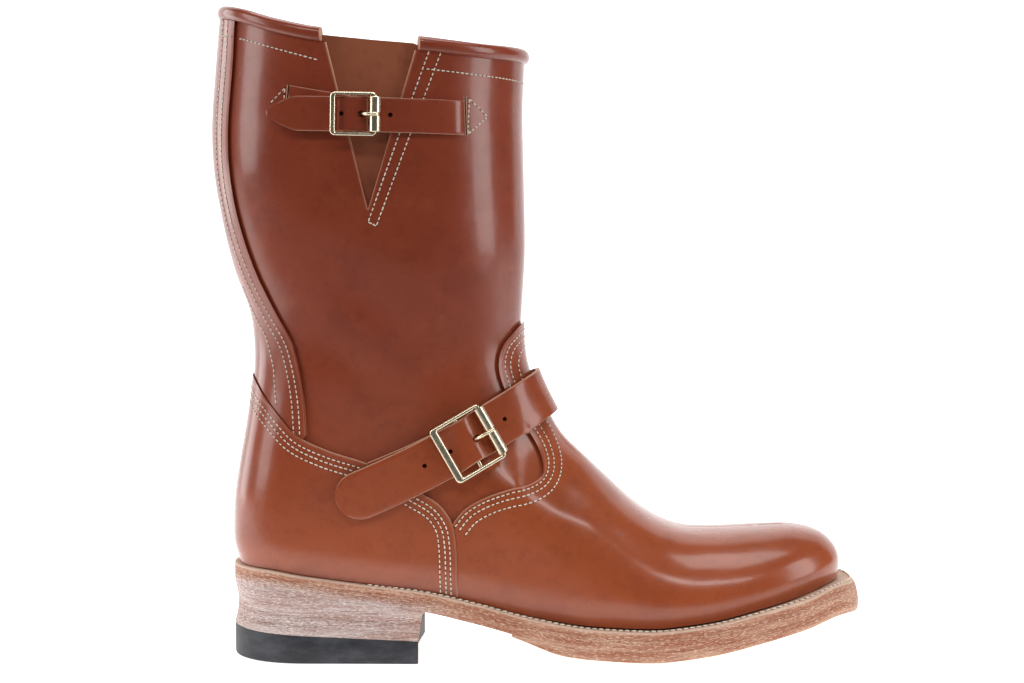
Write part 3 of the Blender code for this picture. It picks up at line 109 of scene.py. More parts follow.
# Leather thicknesses
UPPER_WALL = 0.0023
VAMP_LEATHER = 0.0017
COUNTER_LEATHER = 0.0020
BACKSTAY_LEATHER = 0.0013
GUSSET_LEATHER = 0.0016
ANKLE_STRAP_LEATHER = 0.0022
TOP_STRAP_LEATHER = 0.0019
SEAT_GAP = 0.0003
PANEL_GAP = 0.0002
RIM_GAP = 0.0004
WELT_GAP = 0.0005

# Sole and heel
WELT_THICKNESS = 0.0032
MIDSOLE_THICKNESS = 0.0058
HALF_SOLE_THICKNESS = 0.0054
INSOLE_THICKNESS = 0.0043
INSOLE_PROUD = 0.0015
INSOLE_MARGIN = 0.0011
WELT_INSET = 0.0023
SOLE_REACH = 0.0090
TREAD_CROWN = 0.0050
TREAD_FLAT = 0.0014
HEEL_HEIGHT = 0.0360
HEEL_LENGTH = 0.0915
BREAST_RAKE = 0.0022
LIFT_COUNT = 4
LIFT_CORNER = 0.0003
HEEL_CORNER = 0.0008
HEEL_POINTS = 96
STACK_WAIST = 0.0017
TOP_LIFT_BACK = 0.0152
TOP_LIFT_FRONT = 0.0112
WELT_START = 0.0615
HALF_SOLE_START = 0.1370
HALF_SOLE_FEATHER = 0.0260
HALF_SOLE_FEATHER_EDGE = 0.0012

# Collar bead and side gusset
BEAD_WIDTH = 0.0072
BEAD_HEIGHT = 0.0062
BEAD_CUT = 0.0015
BEAD_LAP = 0.0009
BEAD_STATIONS = 260
BEAD_ENDS = (0.0, 0.05, 0.10)
NOTCH_REAR = 0.0457
NOTCH_FRONT = 0.0975
NOTCH_APEX = 0.0690
NOTCH_APEX_HEIGHT = 0.2210
GUSSET_MARGIN = 0.0130
GUSSET_STAND = 0.0030
GUSSET_REAR_RISE = (-0.002, 0.001)
GUSSET_FRONT_FALL = (0.092, 0.095)

# Straps
ANKLE_STRAP_WIDTH = 0.0234
ANKLE_STRAP_SLOPE = math.radians(27.7)
ANKLE_STRAP_FRONT_HEIGHT = 0.1288
ANKLE_STRAP_BOW = 0.0027
ANKLE_STRAP_BOW_RUN = 0.1100
ANKLE_STRAP_TAIL = 0.1085
ANKLE_STRAP_INNER = 0.0945
ANKLE_CHAPE_START = 0.0940
ANKLE_BUCKLE_AT = 0.0400
TOP_STRAP_WIDTH = 0.0162
TOP_STRAP_SLOPE = math.radians(-1.2)
TOP_STRAP_FRONT_HEIGHT = 0.2631
TOP_STRAP_ROOT = 0.0285
TOP_STRAP_TAIL = 0.1198
TOP_CHAPE_START = 0.1095
TOP_CHAPE_RISE = 0.0054
ANKLE_CHAPE_RISE = 0.0020
TOP_BUCKLE_AT = 0.0785
CHAPE_LIFT = 0.0013
CHAPE_LEATHER = 0.0012
HOLE_RADIUS = 0.0011
ANKLE_HOLES = (0.5075, 1.220, 1.550)
TOP_HOLES = (0.7975, 1.0765)
PRONG_SLOT = 0.0012

# Buckles
ANKLE_FRAME_LENGTH = 0.0290
ANKLE_FRAME_SIDE = 0.0020
ANKLE_FRAME_BAR = 0.0040
ANKLE_FRAME_CLEARANCE = 0.0011
ANKLE_FRAME_SAG = 0.0007
TOP_FRAME_LENGTH = 0.0232
TOP_FRAME_SIDE = 0.0017
TOP_FRAME_BAR = 0.0026
TOP_FRAME_CLEARANCE = 0.0004
TOP_FRAME_SAG = 0.0
FRAME_HEIGHT = 0.0022
BAR_RADIUS = 0.0010
BAR_DROP = 0.0026
ROLLER_WALL = 0.0009
PRONG_RADIUS = 0.00085
# Upper half of a frame bar's section: share of the way inwards, and of half its height
FRAME_PROFILE = [
    (0.0, 0.0),
    (0.03, 0.50),
    (0.12, 0.82),
    (0.30, 0.97),
    (0.55, 1.0),
    (0.80, 0.90),
    (0.95, 0.55),
    (1.0, 0.0),
]

# The origin is under the middle of the heel
SHIFT = -HEEL_LENGTH / 2

SOLE_STACK = HALF_SOLE_THICKNESS + MIDSOLE_THICKNESS + WELT_THICKNESS + WELT_GAP + 2 * SEAT_GAP
TREAD_EDGE = TREAD_CROWN - TREAD_FLAT
TREAD_HEIGHT = SOLE_STACK + TREAD_EDGE
SEAT_HEIGHT = HEEL_HEIGHT + MIDSOLE_THICKNESS + WELT_THICKNESS + WELT_GAP + 2 * SEAT_GAP
COLLAR_BACK = SEAT_HEIGHT + SHAFT_RISE
COLLAR_FRONT = COLLAR_BACK - COLLAR_SLOPE

# Depths of the layers under the feather line, and their corners; the toe's edge leans back
WELT_TOP = WELT_GAP
WELT_LOW = WELT_TOP + WELT_THICKNESS + SEAT_GAP / 2
MIDSOLE_LOW = WELT_LOW + MIDSOLE_THICKNESS + SEAT_GAP
JOINT_CORNER = 0.00013
TREAD_CORNER = 0.0012
WELT_CORNER = 0.0006
WELT_ROW = 0.66
WELT_ROW_START = 0.066
WELT_TOE_CORNER = 0.0014
TOE_LEAN, LEAN_DEPTH = 0.0030, 0.0100
TOE_CURVE = (0.93 * LAST_LENGTH, 1.03 * LAST_LENGTH)

# Feather line, where the upper meets the welt: reach along the last, and how much of the
# heel's rise and of the toe spring the line has there
FEATHER_LINE = [
    ("reach", "heel", "toe"),
    (-0.03, 1.000, 0.0),
    (0.05, 0.992, 0.0),
    (0.12, 0.890, 0.0),
    (0.21, 0.755, 0.0),
    (0.32, 0.605, 0.0),
    (0.40, 0.415, 0.0),
    (0.48, 0.205, 0.0),
    (0.58, 0.040, 0.0),
    (0.68, 0.000, 0.0),
    (0.76, 0.0, 0.115),
    (0.86, 0.0, 0.420),
    (0.93, 0.0, 0.645),
    (1.00, 0.0, 0.875),
    (1.035, 0.0, 0.830),
    (1.05, 0.0, 0.810),
]

# Front line of the upper from the toe to the collar: reach along the last, share of the
# toe box height, share of the rise from the toe box to the collar
FRONT_LINE = [
    ("reach", "toe_box", "leg"),
    (1.0050, 0.000, 0.0000),
    (1.0045, 0.190, 0.0000),
    (0.9990, 0.430, 0.0000),
    (0.9895, 0.660, 0.0000),
    (0.9700, 0.870, 0.0000),
    (0.9300, 1.000, 0.0000),
    (0.8660, 0.985, 0.0000),
    (0.7880, 0.945, 0.0000),
    (0.7430, 0.985, 0.0000),
    (0.7010, 1.000, 0.0177),
    (0.6590, 1.000, 0.0528),
    (0.6170, 1.000, 0.1017),
    (0.5760, 1.000, 0.1522),
    (0.5350, 1.000, 0.2047),
    (0.5140, 1.000, 0.2492),
    (0.4790, 1.000, 0.3480),
    (0.4705, 1.000, 0.4233),
    (0.4730, 1.000, 0.4955),
    (0.4775, 1.000, 0.6043),
    (0.4755, 1.000, 0.7626),
    (0.4735, 1.000, 0.9010),
    (0.4765, 1.000, 1.0000),
]

# Back line of the upper from the heel seat to the collar, with the half width of the leg
# there and the length over which its back is rounded
BACK_LINE = [
    ("rise", "reach", "half_width", "round"),
    (0.000, 0.0000, 0.660, 0.480),
    (0.045, -0.0010, 0.675, 0.490),
    (0.116, 0.0013, 0.680, 0.520),
    (0.183, 0.0100, 0.675, 0.560),
    (0.273, 0.0242, 0.695, 0.640),
    (0.348, 0.0325, 0.735, 0.740),
    (0.400, 0.0340, 0.775, 0.820),
    (0.465, 0.0270, 0.830, 0.900),
    (0.544, 0.0020, 0.895, 0.960),
    (0.633, -0.0171, 0.945, 0.990),
    (0.722, -0.0299, 0.975, 1.000),
    (0.800, -0.0329, 0.990, 1.000),
    (0.897, -0.0268, 1.000, 1.000),
    (1.000, -0.0185, 1.010, 1.000),
]

# Plan of the foot: half widths as shares of the ball's, swing of the middle line towards
# the big toe, and how far the sole reaches past the feather line
PLAN = [
    ("reach", "outer", "inner", "swing", "sole"),
    (-0.05, 0.690, 0.685, 0.00, 0.50),
    (0.12, 0.700, 0.690, 0.00, 0.50),
    (0.28, 0.705, 0.665, 0.00, 0.54),
    (0.40, 0.765, 0.665, 0.06, 0.68),
    (0.50, 0.865, 0.735, 0.20, 0.82),
    (0.60, 0.965, 0.865, 0.38, 0.94),
    (0.69, 1.010, 0.965, 0.55, 1.00),
    (0.78, 1.000, 0.965, 0.72, 1.02),
    (0.86, 0.950, 0.915, 0.86, 1.08),
    (0.93, 0.890, 0.865, 0.95, 1.18),
    (1.05, 0.800, 0.790, 1.00, 1.54),
]

# Loops round the upper: each joins a share of the front line to a share of the back line
LOOPS = [
    ("row", "front", "back"),
    (0.00, 0.000, 0.000),
    (0.14, 0.050, 0.050),
    (0.27, 0.110, 0.075),
    (0.41, 0.240, 0.125),
    (0.54, 0.370, 0.270),
    (0.67, 0.540, 0.440),
    (0.81, 0.740, 0.680),
    (1.00, 1.000, 1.000),
]

# Dip of the collar between the back seam and the front
COLLAR_LINE = [
    ("along", "dip"),
    (0.00, 0.00),
    (0.10, 0.33),
    (0.20, 0.74),
    (0.34, 1.00),
    (0.50, 0.90),
    (0.67, 0.66),
    (0.85, 0.44),
    (1.00, 0.00),
]

# Seams seen from the side, as shares of the last length forwards and of the shaft's rise
# above the heel seat upwards
COUNTER_EDGE = [
    ("reach", "rise"),
    (0.3660, -0.1800),
    (0.3675, 0.0050),
    (0.3655, 0.0505),
    (0.3600, 0.0830),
    (0.3400, 0.1170),
    (0.3000, 0.1455),
    (0.2270, 0.1915),
    (0.1620, 0.2160),
    (0.1120, 0.2420),
    (0.0860, 0.2710),
    (0.0500, 0.3160),
    (0.0250, 0.3500),
    (-0.0600, 0.4050),
]
VAMP_EDGE = [
    ("reach", "rise"),
    (0.3600, 0.0830),
    (0.3805, 0.1105),
    (0.4130, 0.1320),
    (0.4530, 0.1470),
    (0.4850, 0.1530),
    (0.5035, 0.1660),
    (0.5070, 0.1865),
    (0.4985, 0.2180),
    (0.4695, 0.2720),
    (0.4450, 0.3220),
    (0.4350, 0.3590),
    (0.4355, 0.3820),
    (0.4425, 0.4050),
    (0.4570, 0.4240),
    (0.4750, 0.4440),
    (0.5200, 0.4700),
]
BACKSTAY_EDGE = [
    ("reach", "rise"),
    (0.0160, 1.0600),
    (0.0110, 0.9230),
    (0.0025, 0.8150),
    (0.0015, 0.7430),
    (0.0060, 0.6880),
    (0.0175, 0.6250),
    (0.0415, 0.5440),
    (0.0740, 0.4680),
    (0.1015, 0.4140),
    (0.1130, 0.3700),
    (0.1210, 0.3160),
    (0.1245, 0.2590),
    (0.1245, 0.1500),
]

# Underside of each strap above the upper: place along the strap as a share of the distance from
# the front line to the buckle, or to the strap's end on the inner side, and share of the lift
ANKLE_STRAP_LIFT = [
    ("along", "lift"),
    (0.000, 1.00),
    (0.250, 0.82),
    (0.450, 0.56),
    (0.600, 0.42),
    (0.760, 0.40),
    (0.830, 0.52),
    (0.900, 0.86),
    (0.960, 1.08),
    (1.040, 1.10),
    (1.120, 1.00),
    (1.220, 0.78),
    (1.300, 0.70),
    (1.400, 0.69),
    (1.600, 0.74),
    (1.800, 0.78),
    (2.800, 0.78),
]
INNER_STRAP_LIFT = [
    ("along", "lift"),
    (0.000, 1.00),
    (0.212, 0.74),
    (0.339, 0.34),
    (0.466, 0.26),
    (1.164, 0.26),
]
TOP_STRAP_LIFT = [
    ("along", "lift"),
    (0.360, -0.20),
    (0.385, 0.00),
    (0.430, 0.12),
    (0.620, 0.16),
    (0.780, 0.20),
    (0.870, 0.32),
    (0.920, 0.62),
    (0.975, 0.96),
    (1.020, 0.98),
    (1.070, 0.76),
    (1.110, 0.58),
    (1.160, 0.52),
    (1.340, 0.52),
    (1.580, 0.50),
]
BUCKLE_LIFT = 0.0053
ANKLE_FRAME_LIFT = 0.0074
TOP_FRAME_LIFT = 0.0067

# Where each buckle sits on its strap's line, and its frame's sizes
ANKLE_LINE = (ANKLE_STRAP_FRONT_HEIGHT, ANKLE_STRAP_SLOPE, ANKLE_BUCKLE_AT)
TOP_LINE = (TOP_STRAP_FRONT_HEIGHT, TOP_STRAP_SLOPE, TOP_BUCKLE_AT)
ANKLE_FRAME = (
    ANKLE_FRAME_LENGTH,
    ANKLE_STRAP_WIDTH,
    ANKLE_FRAME_SIDE,
    ANKLE_FRAME_BAR,
    ANKLE_FRAME_CLEARANCE,
    ANKLE_FRAME_SAG,
    ANKLE_FRAME_LIFT,
)
TOP_FRAME = (
    TOP_FRAME_LENGTH,
    TOP_STRAP_WIDTH,
    TOP_FRAME_SIDE,
    TOP_FRAME_BAR,
    TOP_FRAME_CLEARANCE,
    TOP_FRAME_SAG,
    TOP_FRAME_LIFT,
)

# Places across a strap, its thickness there as a share, and the raw edge's share
STRAP_PROFILE = [
    ("across", "thick", "edge"),
    (-1.000, 0.30, 1.0),
    (-0.992, 0.74, 0.9),
    (-0.974, 0.95, 0.3),
    (-0.950, 1.00, 0.0),
    (-0.780, 1.00, 0.0),
    (-0.500, 1.01, 0.0),
    (0.000, 1.02, 0.0),
    (0.500, 1.01, 0.0),
    (0.780, 1.00, 0.0),
    (0.950, 1.00, 0.0),
    (0.974, 0.95, 0.3),
    (0.992, 0.74, 0.9),
    (1.000, 0.30, 1.0),
]

# Soft hollows: line seen from the side, depth, width, on the inner side
CREASES = [
    ([(0.040, 0.205), (0.070, 0.178), (0.098, 0.148)], 0.0007, 0.0100, False),
    ([(0.030, 0.165), (0.060, 0.148), (0.085, 0.128)], 0.0005, 0.0080, False),
    ([(0.150, 0.118), (0.165, 0.100), (0.172, 0.084)], 0.0004, 0.0060, False),
    ([(0.040, 0.205), (0.070, 0.178), (0.098, 0.148)], 0.0007, 0.0100, True),
]

# Slits of the top strap, places seen from the side in metres from the heel's back and the floor
SLIT_HALF = 0.00035
SLITS = [[(0.1146, 0.2742), (0.1153, 0.2550)], [(0.0318, 0.2788), (0.0308, 0.2672)]]
# Rows of stitches that follow no cut edge, in the same places
STRAP_ROWS = [
    [(0.1166, 0.2730), (0.1160, 0.2562)],
    [(0.1166, 0.2730), (0.1252, 0.2647)],
    [(0.1252, 0.2647), (0.1160, 0.2562)],
    [(0.0300, 0.2775), (0.0292, 0.2690)],
    [(0.0300, 0.2775), (0.0228, 0.2706)],
]
STAY_ROWS = [
    [(0.0060, 0.1830), (0.0112, 0.1704), (0.0184, 0.1585), (0.0220, 0.1440), (0.0231, 0.1261)],
    [(-0.0300, 0.3085), (-0.0065, 0.3055), (0.0038, 0.3029)],
]
NOTCH_ROWS = [
    [(0.0691, 0.2144), (0.0963, 0.2900), (0.0990, 0.2975)],
    [(0.0729, 0.2125), (0.1019, 0.2900), (0.1047, 0.2975)],
    [(0.0691, 0.2144), (0.0729, 0.2125)],
]
RIM_ROWS = [
    [(0.0064, 0.3021), (0.0250, 0.2962), (0.0460, 0.2902)],
    [(0.0963, 0.2863), (0.1180, 0.2845), (0.1409, 0.2830), (0.1650, 0.2815)],
]
INNER_RIM_ROW = [(0.0064, 0.3021), (0.0460, 0.2925), (0.0963, 0.2865), (0.165, 0.2815)]

# Sides that a line on the upper runs over, and the least half width it is kept at
OUTER, INNER, ROUND = (False,), (True,), (False, True)
LEAST_WIDTH = 0.0006


def column(table, name):
    """One named column of a table, as numbers."""
    place = table[0].index(name)
    return np.array([row[place] for row in table[1:]], float)


def smooth_step(value, low, high):
    """0 under low, 1 over high, and smooth from one to the other."""
    share = np.clip((np.asarray(value, float) - low) / (high - low), 0.0, 1.0)
    return share * share * (3.0 - 2.0 * share)


def slopes(x, y):
    """Monotone slopes at the rows of a table, for cubic interpolation."""
    step = np.diff(x)
    rate = np.diff(y) / step
    slope = np.zeros(len(x))
    slope[0], slope[-1] = rate[0], rate[-1]
    for k in range(1, len(x) - 1):
        if rate[k - 1] * rate[k] > 0.0:
            before, after = step[k - 1], step[k]
            w1, w2 = 2 * after + before, after + 2 * before
            slope[k] = (w1 + w2) / (w1 / rate[k - 1] + w2 / rate[k])
    return slope


def interpolate(at, x, y):
    """Smooth curve through the rows (x, y), read at the given places."""
    at = np.clip(np.asarray(at, float), x[0], x[-1])
    slope = slopes(x, y)
    k = np.clip(np.searchsorted(x, at, side="right") - 1, 0, len(x) - 2)
    width = x[k + 1] - x[k]
    t = (at - x[k]) / width
    h00 = (1 + 2 * t) * (1 - t) ** 2
    h10 = t * (1 - t) ** 2
    h01 = t * t * (3 - 2 * t)
    h11 = t * t * (t - 1)
    return h00 * y[k] + h10 * width * slope[k] + h01 * y[k + 1] + h11 * width * slope[k + 1]


def curve_through(points, count):
    """Round curve through a few points, read at count even steps of its length."""
    points = np.asarray(points, float)
    chord = np.linalg.norm(np.diff(points, axis=0), axis=1)
    along = np.concatenate([[0.0], np.cumsum(np.sqrt(chord))])
    tangent = np.gradient(points, along, axis=0, edge_order=1)
    fine = np.linspace(0.0, along[-1], 24 * len(points))
    k = np.clip(np.searchsorted(along, fine, side="right") - 1, 0, len(points) - 2)
    width = (along[k + 1] - along[k])[:, None]
    t = ((fine - along[k])[:, None]) / width
    dense = (
        (1 + 2 * t) * (1 - t) ** 2 * points[k]
        + t * (1 - t) ** 2 * width * tangent[k]
        + t * t * (3 - 2 * t) * points[k + 1]
        + t * t * (t - 1) * width * tangent[k + 1]
    )
    return even_steps(dense, count)


def even_steps(points, count):
    """The same line with count points at even steps of its length."""
    run = np.concatenate([[0.0], np.cumsum(np.linalg.norm(np.diff(points, axis=0), axis=1))])
    at = np.linspace(0.0, run[-1], count)
    return np.stack([np.interp(at, run, points[:, k]) for k in range(points.shape[1])], axis=1)


def feather_height(x):
    """Height of the line where the upper meets the welt."""
    reach = np.asarray(x, float) / LAST_LENGTH
    rows = column(FEATHER_LINE, "reach")
    heel = interpolate(reach, rows, column(FEATHER_LINE, "heel"))
    toe = interpolate(reach, rows, column(FEATHER_LINE, "toe"))
    return TREAD_HEIGHT + heel * (SEAT_HEIGHT - TREAD_HEIGHT) + toe * TOE_SPRING


def front_line(count):
    """Side outline of toe, instep and shin, from the feather line to the collar."""
    toe = float(feather_height(LAST_LENGTH))
    leg = COLLAR_FRONT - toe - TOE_BOX_HEIGHT
    x = column(FRONT_LINE, "reach") * LAST_LENGTH
    z = toe + column(FRONT_LINE, "toe_box") * TOE_BOX_HEIGHT + column(FRONT_LINE, "leg") * leg
    return curve_through(np.stack([x, z], axis=1), count)


def back_line(count):
    """Side outline of the heel and calf, from the feather line to the collar."""
    x = column(BACK_LINE, "reach") * LAST_LENGTH
    z = SEAT_HEIGHT + column(BACK_LINE, "rise") * SHAFT_RISE
    return curve_through(np.stack([x, z], axis=1), count)


FRONT = front_line(FRONT_POINTS)
BACK = back_line(BACK_POINTS)


def plan(name, x):
    """A column of the foot's plan at places along it."""
    return interpolate(np.asarray(x, float) / LAST_LENGTH, column(PLAN, "reach"), column(PLAN, name))


def middle(x):
    """The foot's middle line, which swings towards the big toe."""
    return plan("swing", x) * TOE_SWING


def rounding(share, power):
    """Superellipse quarter: 0 at the edge, 1 once share reaches 1."""
    rest = 1.0 - np.clip(share, 0.0, 1.0)
    return (1.0 - rest**power) ** (1.0 / power)


def ridge_height(x):
    """Height of the front line over a place of the foot."""
    low_leg = FRONT[:, 1] < SEAT_HEIGHT + 0.44 * SHAFT_RISE
    ridge = FRONT[low_leg][::-1]
    ridge_x = np.concatenate([[ridge[0, 0] - 0.02, ridge[0, 0] - 0.0005], ridge[:, 0]])
    ridge_z = np.concatenate([[COLLAR_BACK * 2, ridge[0, 1] + 0.02], ridge[:, 1]])
    return np.interp(x, np.maximum.accumulate(ridge_x), ridge_z)


def half_width(x, z, inner):
    """Half width of the upper at a place of its side outline, on its inner or outer side."""
    x, z = np.asarray(x, float), np.asarray(z, float)
    rise = (z - SEAT_HEIGHT) / SHAFT_RISE
    rows = column(BACK_LINE, "rise")
    leg = interpolate(rise, rows, column(BACK_LINE, "half_width")) * SHAFT_HALF_WIDTH
    foot = plan("inner" if inner else "outer", x) * BALL_HALF_WIDTH
    heel_share = 1.0 - smooth_step(x / LAST_LENGTH, 0.15, 0.45)
    foot = foot + heel_share * (HEEL_HALF_WIDTH - 0.70 * BALL_HALF_WIDTH)
    toe_tip = FRONT[:, 0].max()
    foot = foot * rounding((toe_tip - x) / TOE_ROUND, 2.3)
    body = foot + (leg - foot) * smooth_step(rise, 0.04, 0.34)

    length = interpolate(rise, rows, column(BACK_LINE, "round")) * SECTION_DEPTH
    back = rounding((x - np.interp(z, BACK[:, 1], BACK[:, 0])) / length, 2.15)

    top = ridge_height(x)
    height = np.maximum(top - feather_height(x), 1e-5)
    height = (height**-4 + SECTION_DEPTH**-4) ** -0.25
    down = np.maximum(top - z, 0.0) / height

    shin = FRONT[np.argmin(np.where(FRONT[:, 0] < 0.85 * LAST_LENGTH, FRONT[:, 1], 1.0)) :]
    shin_z = np.maximum.accumulate(shin[:, 1])
    inwards = np.maximum(np.interp(z, shin_z, shin[:, 0]) - x, 0.0) / SECTION_DEPTH
    level = SEAT_HEIGHT + SHAFT_RISE * np.array([0.08, 0.22, 0.24, 0.40])
    use_down = 1.0 - smooth_step(z, level[2], level[3])
    use_inwards = smooth_step(z, level[0], level[1])
    depth = 1.0 / np.sqrt(
        use_down / np.maximum(down, 1e-6) ** 2 + use_inwards / np.maximum(inwards, 1e-6) ** 2
    )
    power = 2.0 + 0.35 * (1.0 - use_inwards)
    return body * back * rounding(depth, power)


def loop_ends(row):
    """Where a loop's plane meets the back line and the front line."""
    rows = column(LOOPS, "row")
    front = interpolate(row, rows, column(LOOPS, "front")) * (len(FRONT) - 1)
    back = interpolate(row, rows, column(LOOPS, "back")) * (len(BACK) - 1)
    f = np.stack([np.interp(front, np.arange(len(FRONT)), FRONT[:, k]) for k in (0, 1)], -1)
    b = np.stack([np.interp(back, np.arange(len(BACK)), BACK[:, k]) for k in (0, 1)], -1)
    return f, b, front / (len(FRONT) - 1)


def body_points(rows, columns):
    """Grid of points on the outside of the upper's own leather: [row, place round it, xyz].

    A loop starts at the back seam, runs along the outer side to the front and back along
    the inner side.  The lowest loop is the feather line and the highest is the collar.
    """
    front, back, share = loop_ends(rows)
    turn = np.arange(2 * columns) * math.pi / columns
    along = (1.0 - np.cos(turn)) / 2.0
    x = back[:, None, 0] + (front - back)[:, None, 0] * along
    z = back[:, None, 1] + (front - back)[:, None, 1] * along
    low = loop_ends(np.array([0.0]))
    low_chord = low[1][0, 1] + (low[0] - low[1])[0, 1] * along
    low_x = low[1][0, 0] + (low[0] - low[1])[0, 0] * along
    sag = feather_height(low_x) - low_chord
    z = z + sag * (1.0 - smooth_step(share, 0.0, 0.50))[:, None]
    dip = interpolate(along, column(COLLAR_LINE, "along"), column(COLLAR_LINE, "dip"))
    z = z - dip * COLLAR_DIP * smooth_step(share, 0.72, 1.0)[:, None]
    under = ridge_height(x) - RIDGE_FALL * (front[:, None, 0] - x)
    z = np.where(z < SEAT_HEIGHT + 0.15 * SHAFT_RISE, np.minimum(z, under), z)
    inner = np.sin(turn) < 0.0
    width = np.where(inner, half_width(x, z, True), half_width(x, z, False))
    width = np.where((along < 1e-9) | (along > 1 - 1e-9), 0.0, width)
    for place in range(2, RIDGE_COLUMNS):
        for side in (-1, 1):
            here, ahead = columns + side * place, columns + side * (place - 1)
            least = width[:, ahead] + RIDGE_SPREAD * (x[:, ahead] - x[:, here])
            width[:, here] = np.maximum(width[:, here], least)
    y = middle(x) + np.where(inner, width, -width)
    points = np.stack([x, y, z], axis=-1)
    flat = normals(points) * np.array([1.0, 1.0, 0.0])
    lift = z - feather_height(x)
    tuck = UNDERCUT * np.exp(-((lift / UNDERCUT_HEIGHT) ** 2))
    return points - flat * tuck[..., None]


def normals(points):
    """Outward unit normals of a grid of loops."""
    round_it = np.roll(points, -1, axis=1) - np.roll(points, 1, axis=1)
    up = np.gradient(points, axis=0)
    normal = np.cross(round_it, up)
    size = np.linalg.norm(normal, axis=-1, keepdims=True)
    return normal / np.maximum(size, 1e-12)


def offset(points, distance):
    """The grid moved out along its normals; its lowest loop stays on the feather line."""
    normal = normals(points)
    normal[0, :, 2] = 0.0
    normal[0] /= np.linalg.norm(normal[0], axis=-1, keepdims=True)
    normal[-1, :, 2] = 0.0
    normal[-1] /= np.linalg.norm(normal[-1], axis=-1, keepdims=True)
    moved = points + normal * distance
    moved[0, :, 2] = feather_height(moved[0, :, 0])
    return moved


def surface_frame(x, z, inner):
    """Point and outward normal of the upper's leather at a place of its side outline."""
    step = 0.0002
    side = 1.0 if inner else -1.0

    def at(a, b):
        y = middle(a) + side * half_width(a, b, inner)
        return np.stack([a, y, b], axis=-1)

    here = at(x, z)
    along = at(x + step, z) - at(x - step, z)
    up = at(x, z + step) - at(x, z - step)
    normal = np.cross(up, along) * side
    return here, normal / np.linalg.norm(normal, axis=-1, keepdims=True)


def seam(table, count):
    """A seam's line seen from the side, in metres."""
    x = column(table, "reach") * LAST_LENGTH
    z = SEAT_HEIGHT + column(table, "rise") * SHAFT_RISE
    return curve_through(np.stack([x, z], axis=1), count)


def side_shift(line, distance):
    """A side line moved to its left by a distance."""
    tangent = np.gradient(line, axis=0)
    tangent /= np.linalg.norm(tangent, axis=1, keepdims=True)
    return line + np.stack([-tangent[:, 1], tangent[:, 0]], axis=1) * distance


def notch_outline(margin):
    """The V in the outer side of the shaft, widened by a margin."""
    slope_rear = (NOTCH_APEX - NOTCH_REAR) / (COLLAR_BACK - NOTCH_APEX_HEIGHT)
    slope_front = (NOTCH_FRONT - NOTCH_APEX) / (COLLAR_BACK - NOTCH_APEX_HEIGHT)
    top = COLLAR_BACK + 0.03
    rise = top - NOTCH_APEX_HEIGHT
    return [
        (NOTCH_APEX - slope_rear * rise - margin, top),
        (NOTCH_APEX - margin, NOTCH_APEX_HEIGHT - 0.4 * margin),
        (NOTCH_APEX, NOTCH_APEX_HEIGHT - 0.9 * margin),
        (NOTCH_APEX + margin, NOTCH_APEX_HEIGHT - 0.4 * margin),
        (NOTCH_APEX + slope_front * rise + margin, top),
    ]


def foot_outline(reach_out, count):
    """Plan outline of the feather line, moved out by a distance that may vary along it."""
    points = body_points(np.array([0.0, 0.01, 0.02]), 90)[0]
    closed = np.concatenate([points, points[:1]])[:, :2]
    line = even_steps(closed, 4 * count + 1)[:-1]
    ahead = np.roll(line, -2, axis=0) - np.roll(line, 2, axis=0)
    out = np.stack([ahead[:, 1], -ahead[:, 0]], axis=1)
    out /= np.linalg.norm(out, axis=1, keepdims=True)
    moved = line + out * reach_out(line[:, 0])[:, None]
    closed = np.concatenate([moved, moved[:1]])
    return even_steps(closed, count + 1)[:-1]


def sole_reach(share):
    """How far the sole's edge stands out past the feather line, times a share."""
    return lambda x: plan("sole", x) * SOLE_REACH * share


def tread_crown(x, y):
    """How far the sole's layers bulge down inside the feather line."""
    x, y = np.asarray(x, float), np.asarray(y, float)
    share = x / LAST_LENGTH
    strength = smooth_step(share, 0.44, 0.62) * (1.0 - smooth_step(share, 0.74, 0.96))
    side = np.where(y > middle(x), plan("inner", x), plan("outer", x)) * BALL_HALF_WIDTH
    out = np.clip(np.abs(y - middle(x)) / side, 0.0, 1.0)
    return TREAD_CROWN * strength * (1.0 - out * out)


def layer_height(x, y, down):
    """Height of a surface that lies a distance under the feather line."""
    return feather_height(x) - down - tread_crown(x, y)


def rings_inwards(outline, shares):
    """Smaller copies of an outline, shrunk towards the foot's middle line."""
    rings = []
    centre_x = 0.5 * LAST_LENGTH
    for share in shares:
        x = outline[:, 0]
        inner_x = centre_x + (x - centre_x) * (0.5 + 0.5 * share)
        inner_y = middle(inner_x) + (outline[:, 1] - middle(x)) * share
        rings.append(np.stack([inner_x, inner_y], axis=1))
    return rings


def heel_outline(reach_in, breast):
    """Plan outline of the heel: the sole's edge behind the breast, which is hollowed."""
    edge = foot_outline(lambda x: plan("sole", x) * SOLE_REACH - reach_in, 160)
    rear = edge[edge[:, 0] < breast]
    jump = np.nonzero(np.linalg.norm(np.diff(rear, axis=0), axis=1) > 0.02)[0]
    if len(jump):
        rear = np.concatenate([rear[jump[0] + 1 :], rear[: jump[0] + 1]])
    rear = rear[np.argsort(np.arctan2(rear[:, 1], 0.6 * breast - rear[:, 0]))]
    rear = even_steps(rear, HEEL_POINTS)
    rear[0, 0] = rear[-1, 0] = breast
    front = []
    for share in np.linspace(0, 1, 14)[1:-1]:
        y = rear[-1, 1] + (rear[0, 1] - rear[-1, 1]) * share
        front.append((breast - 0.0022 * math.sin(math.pi * share), y))
    return np.concatenate([rear, np.array(front)])


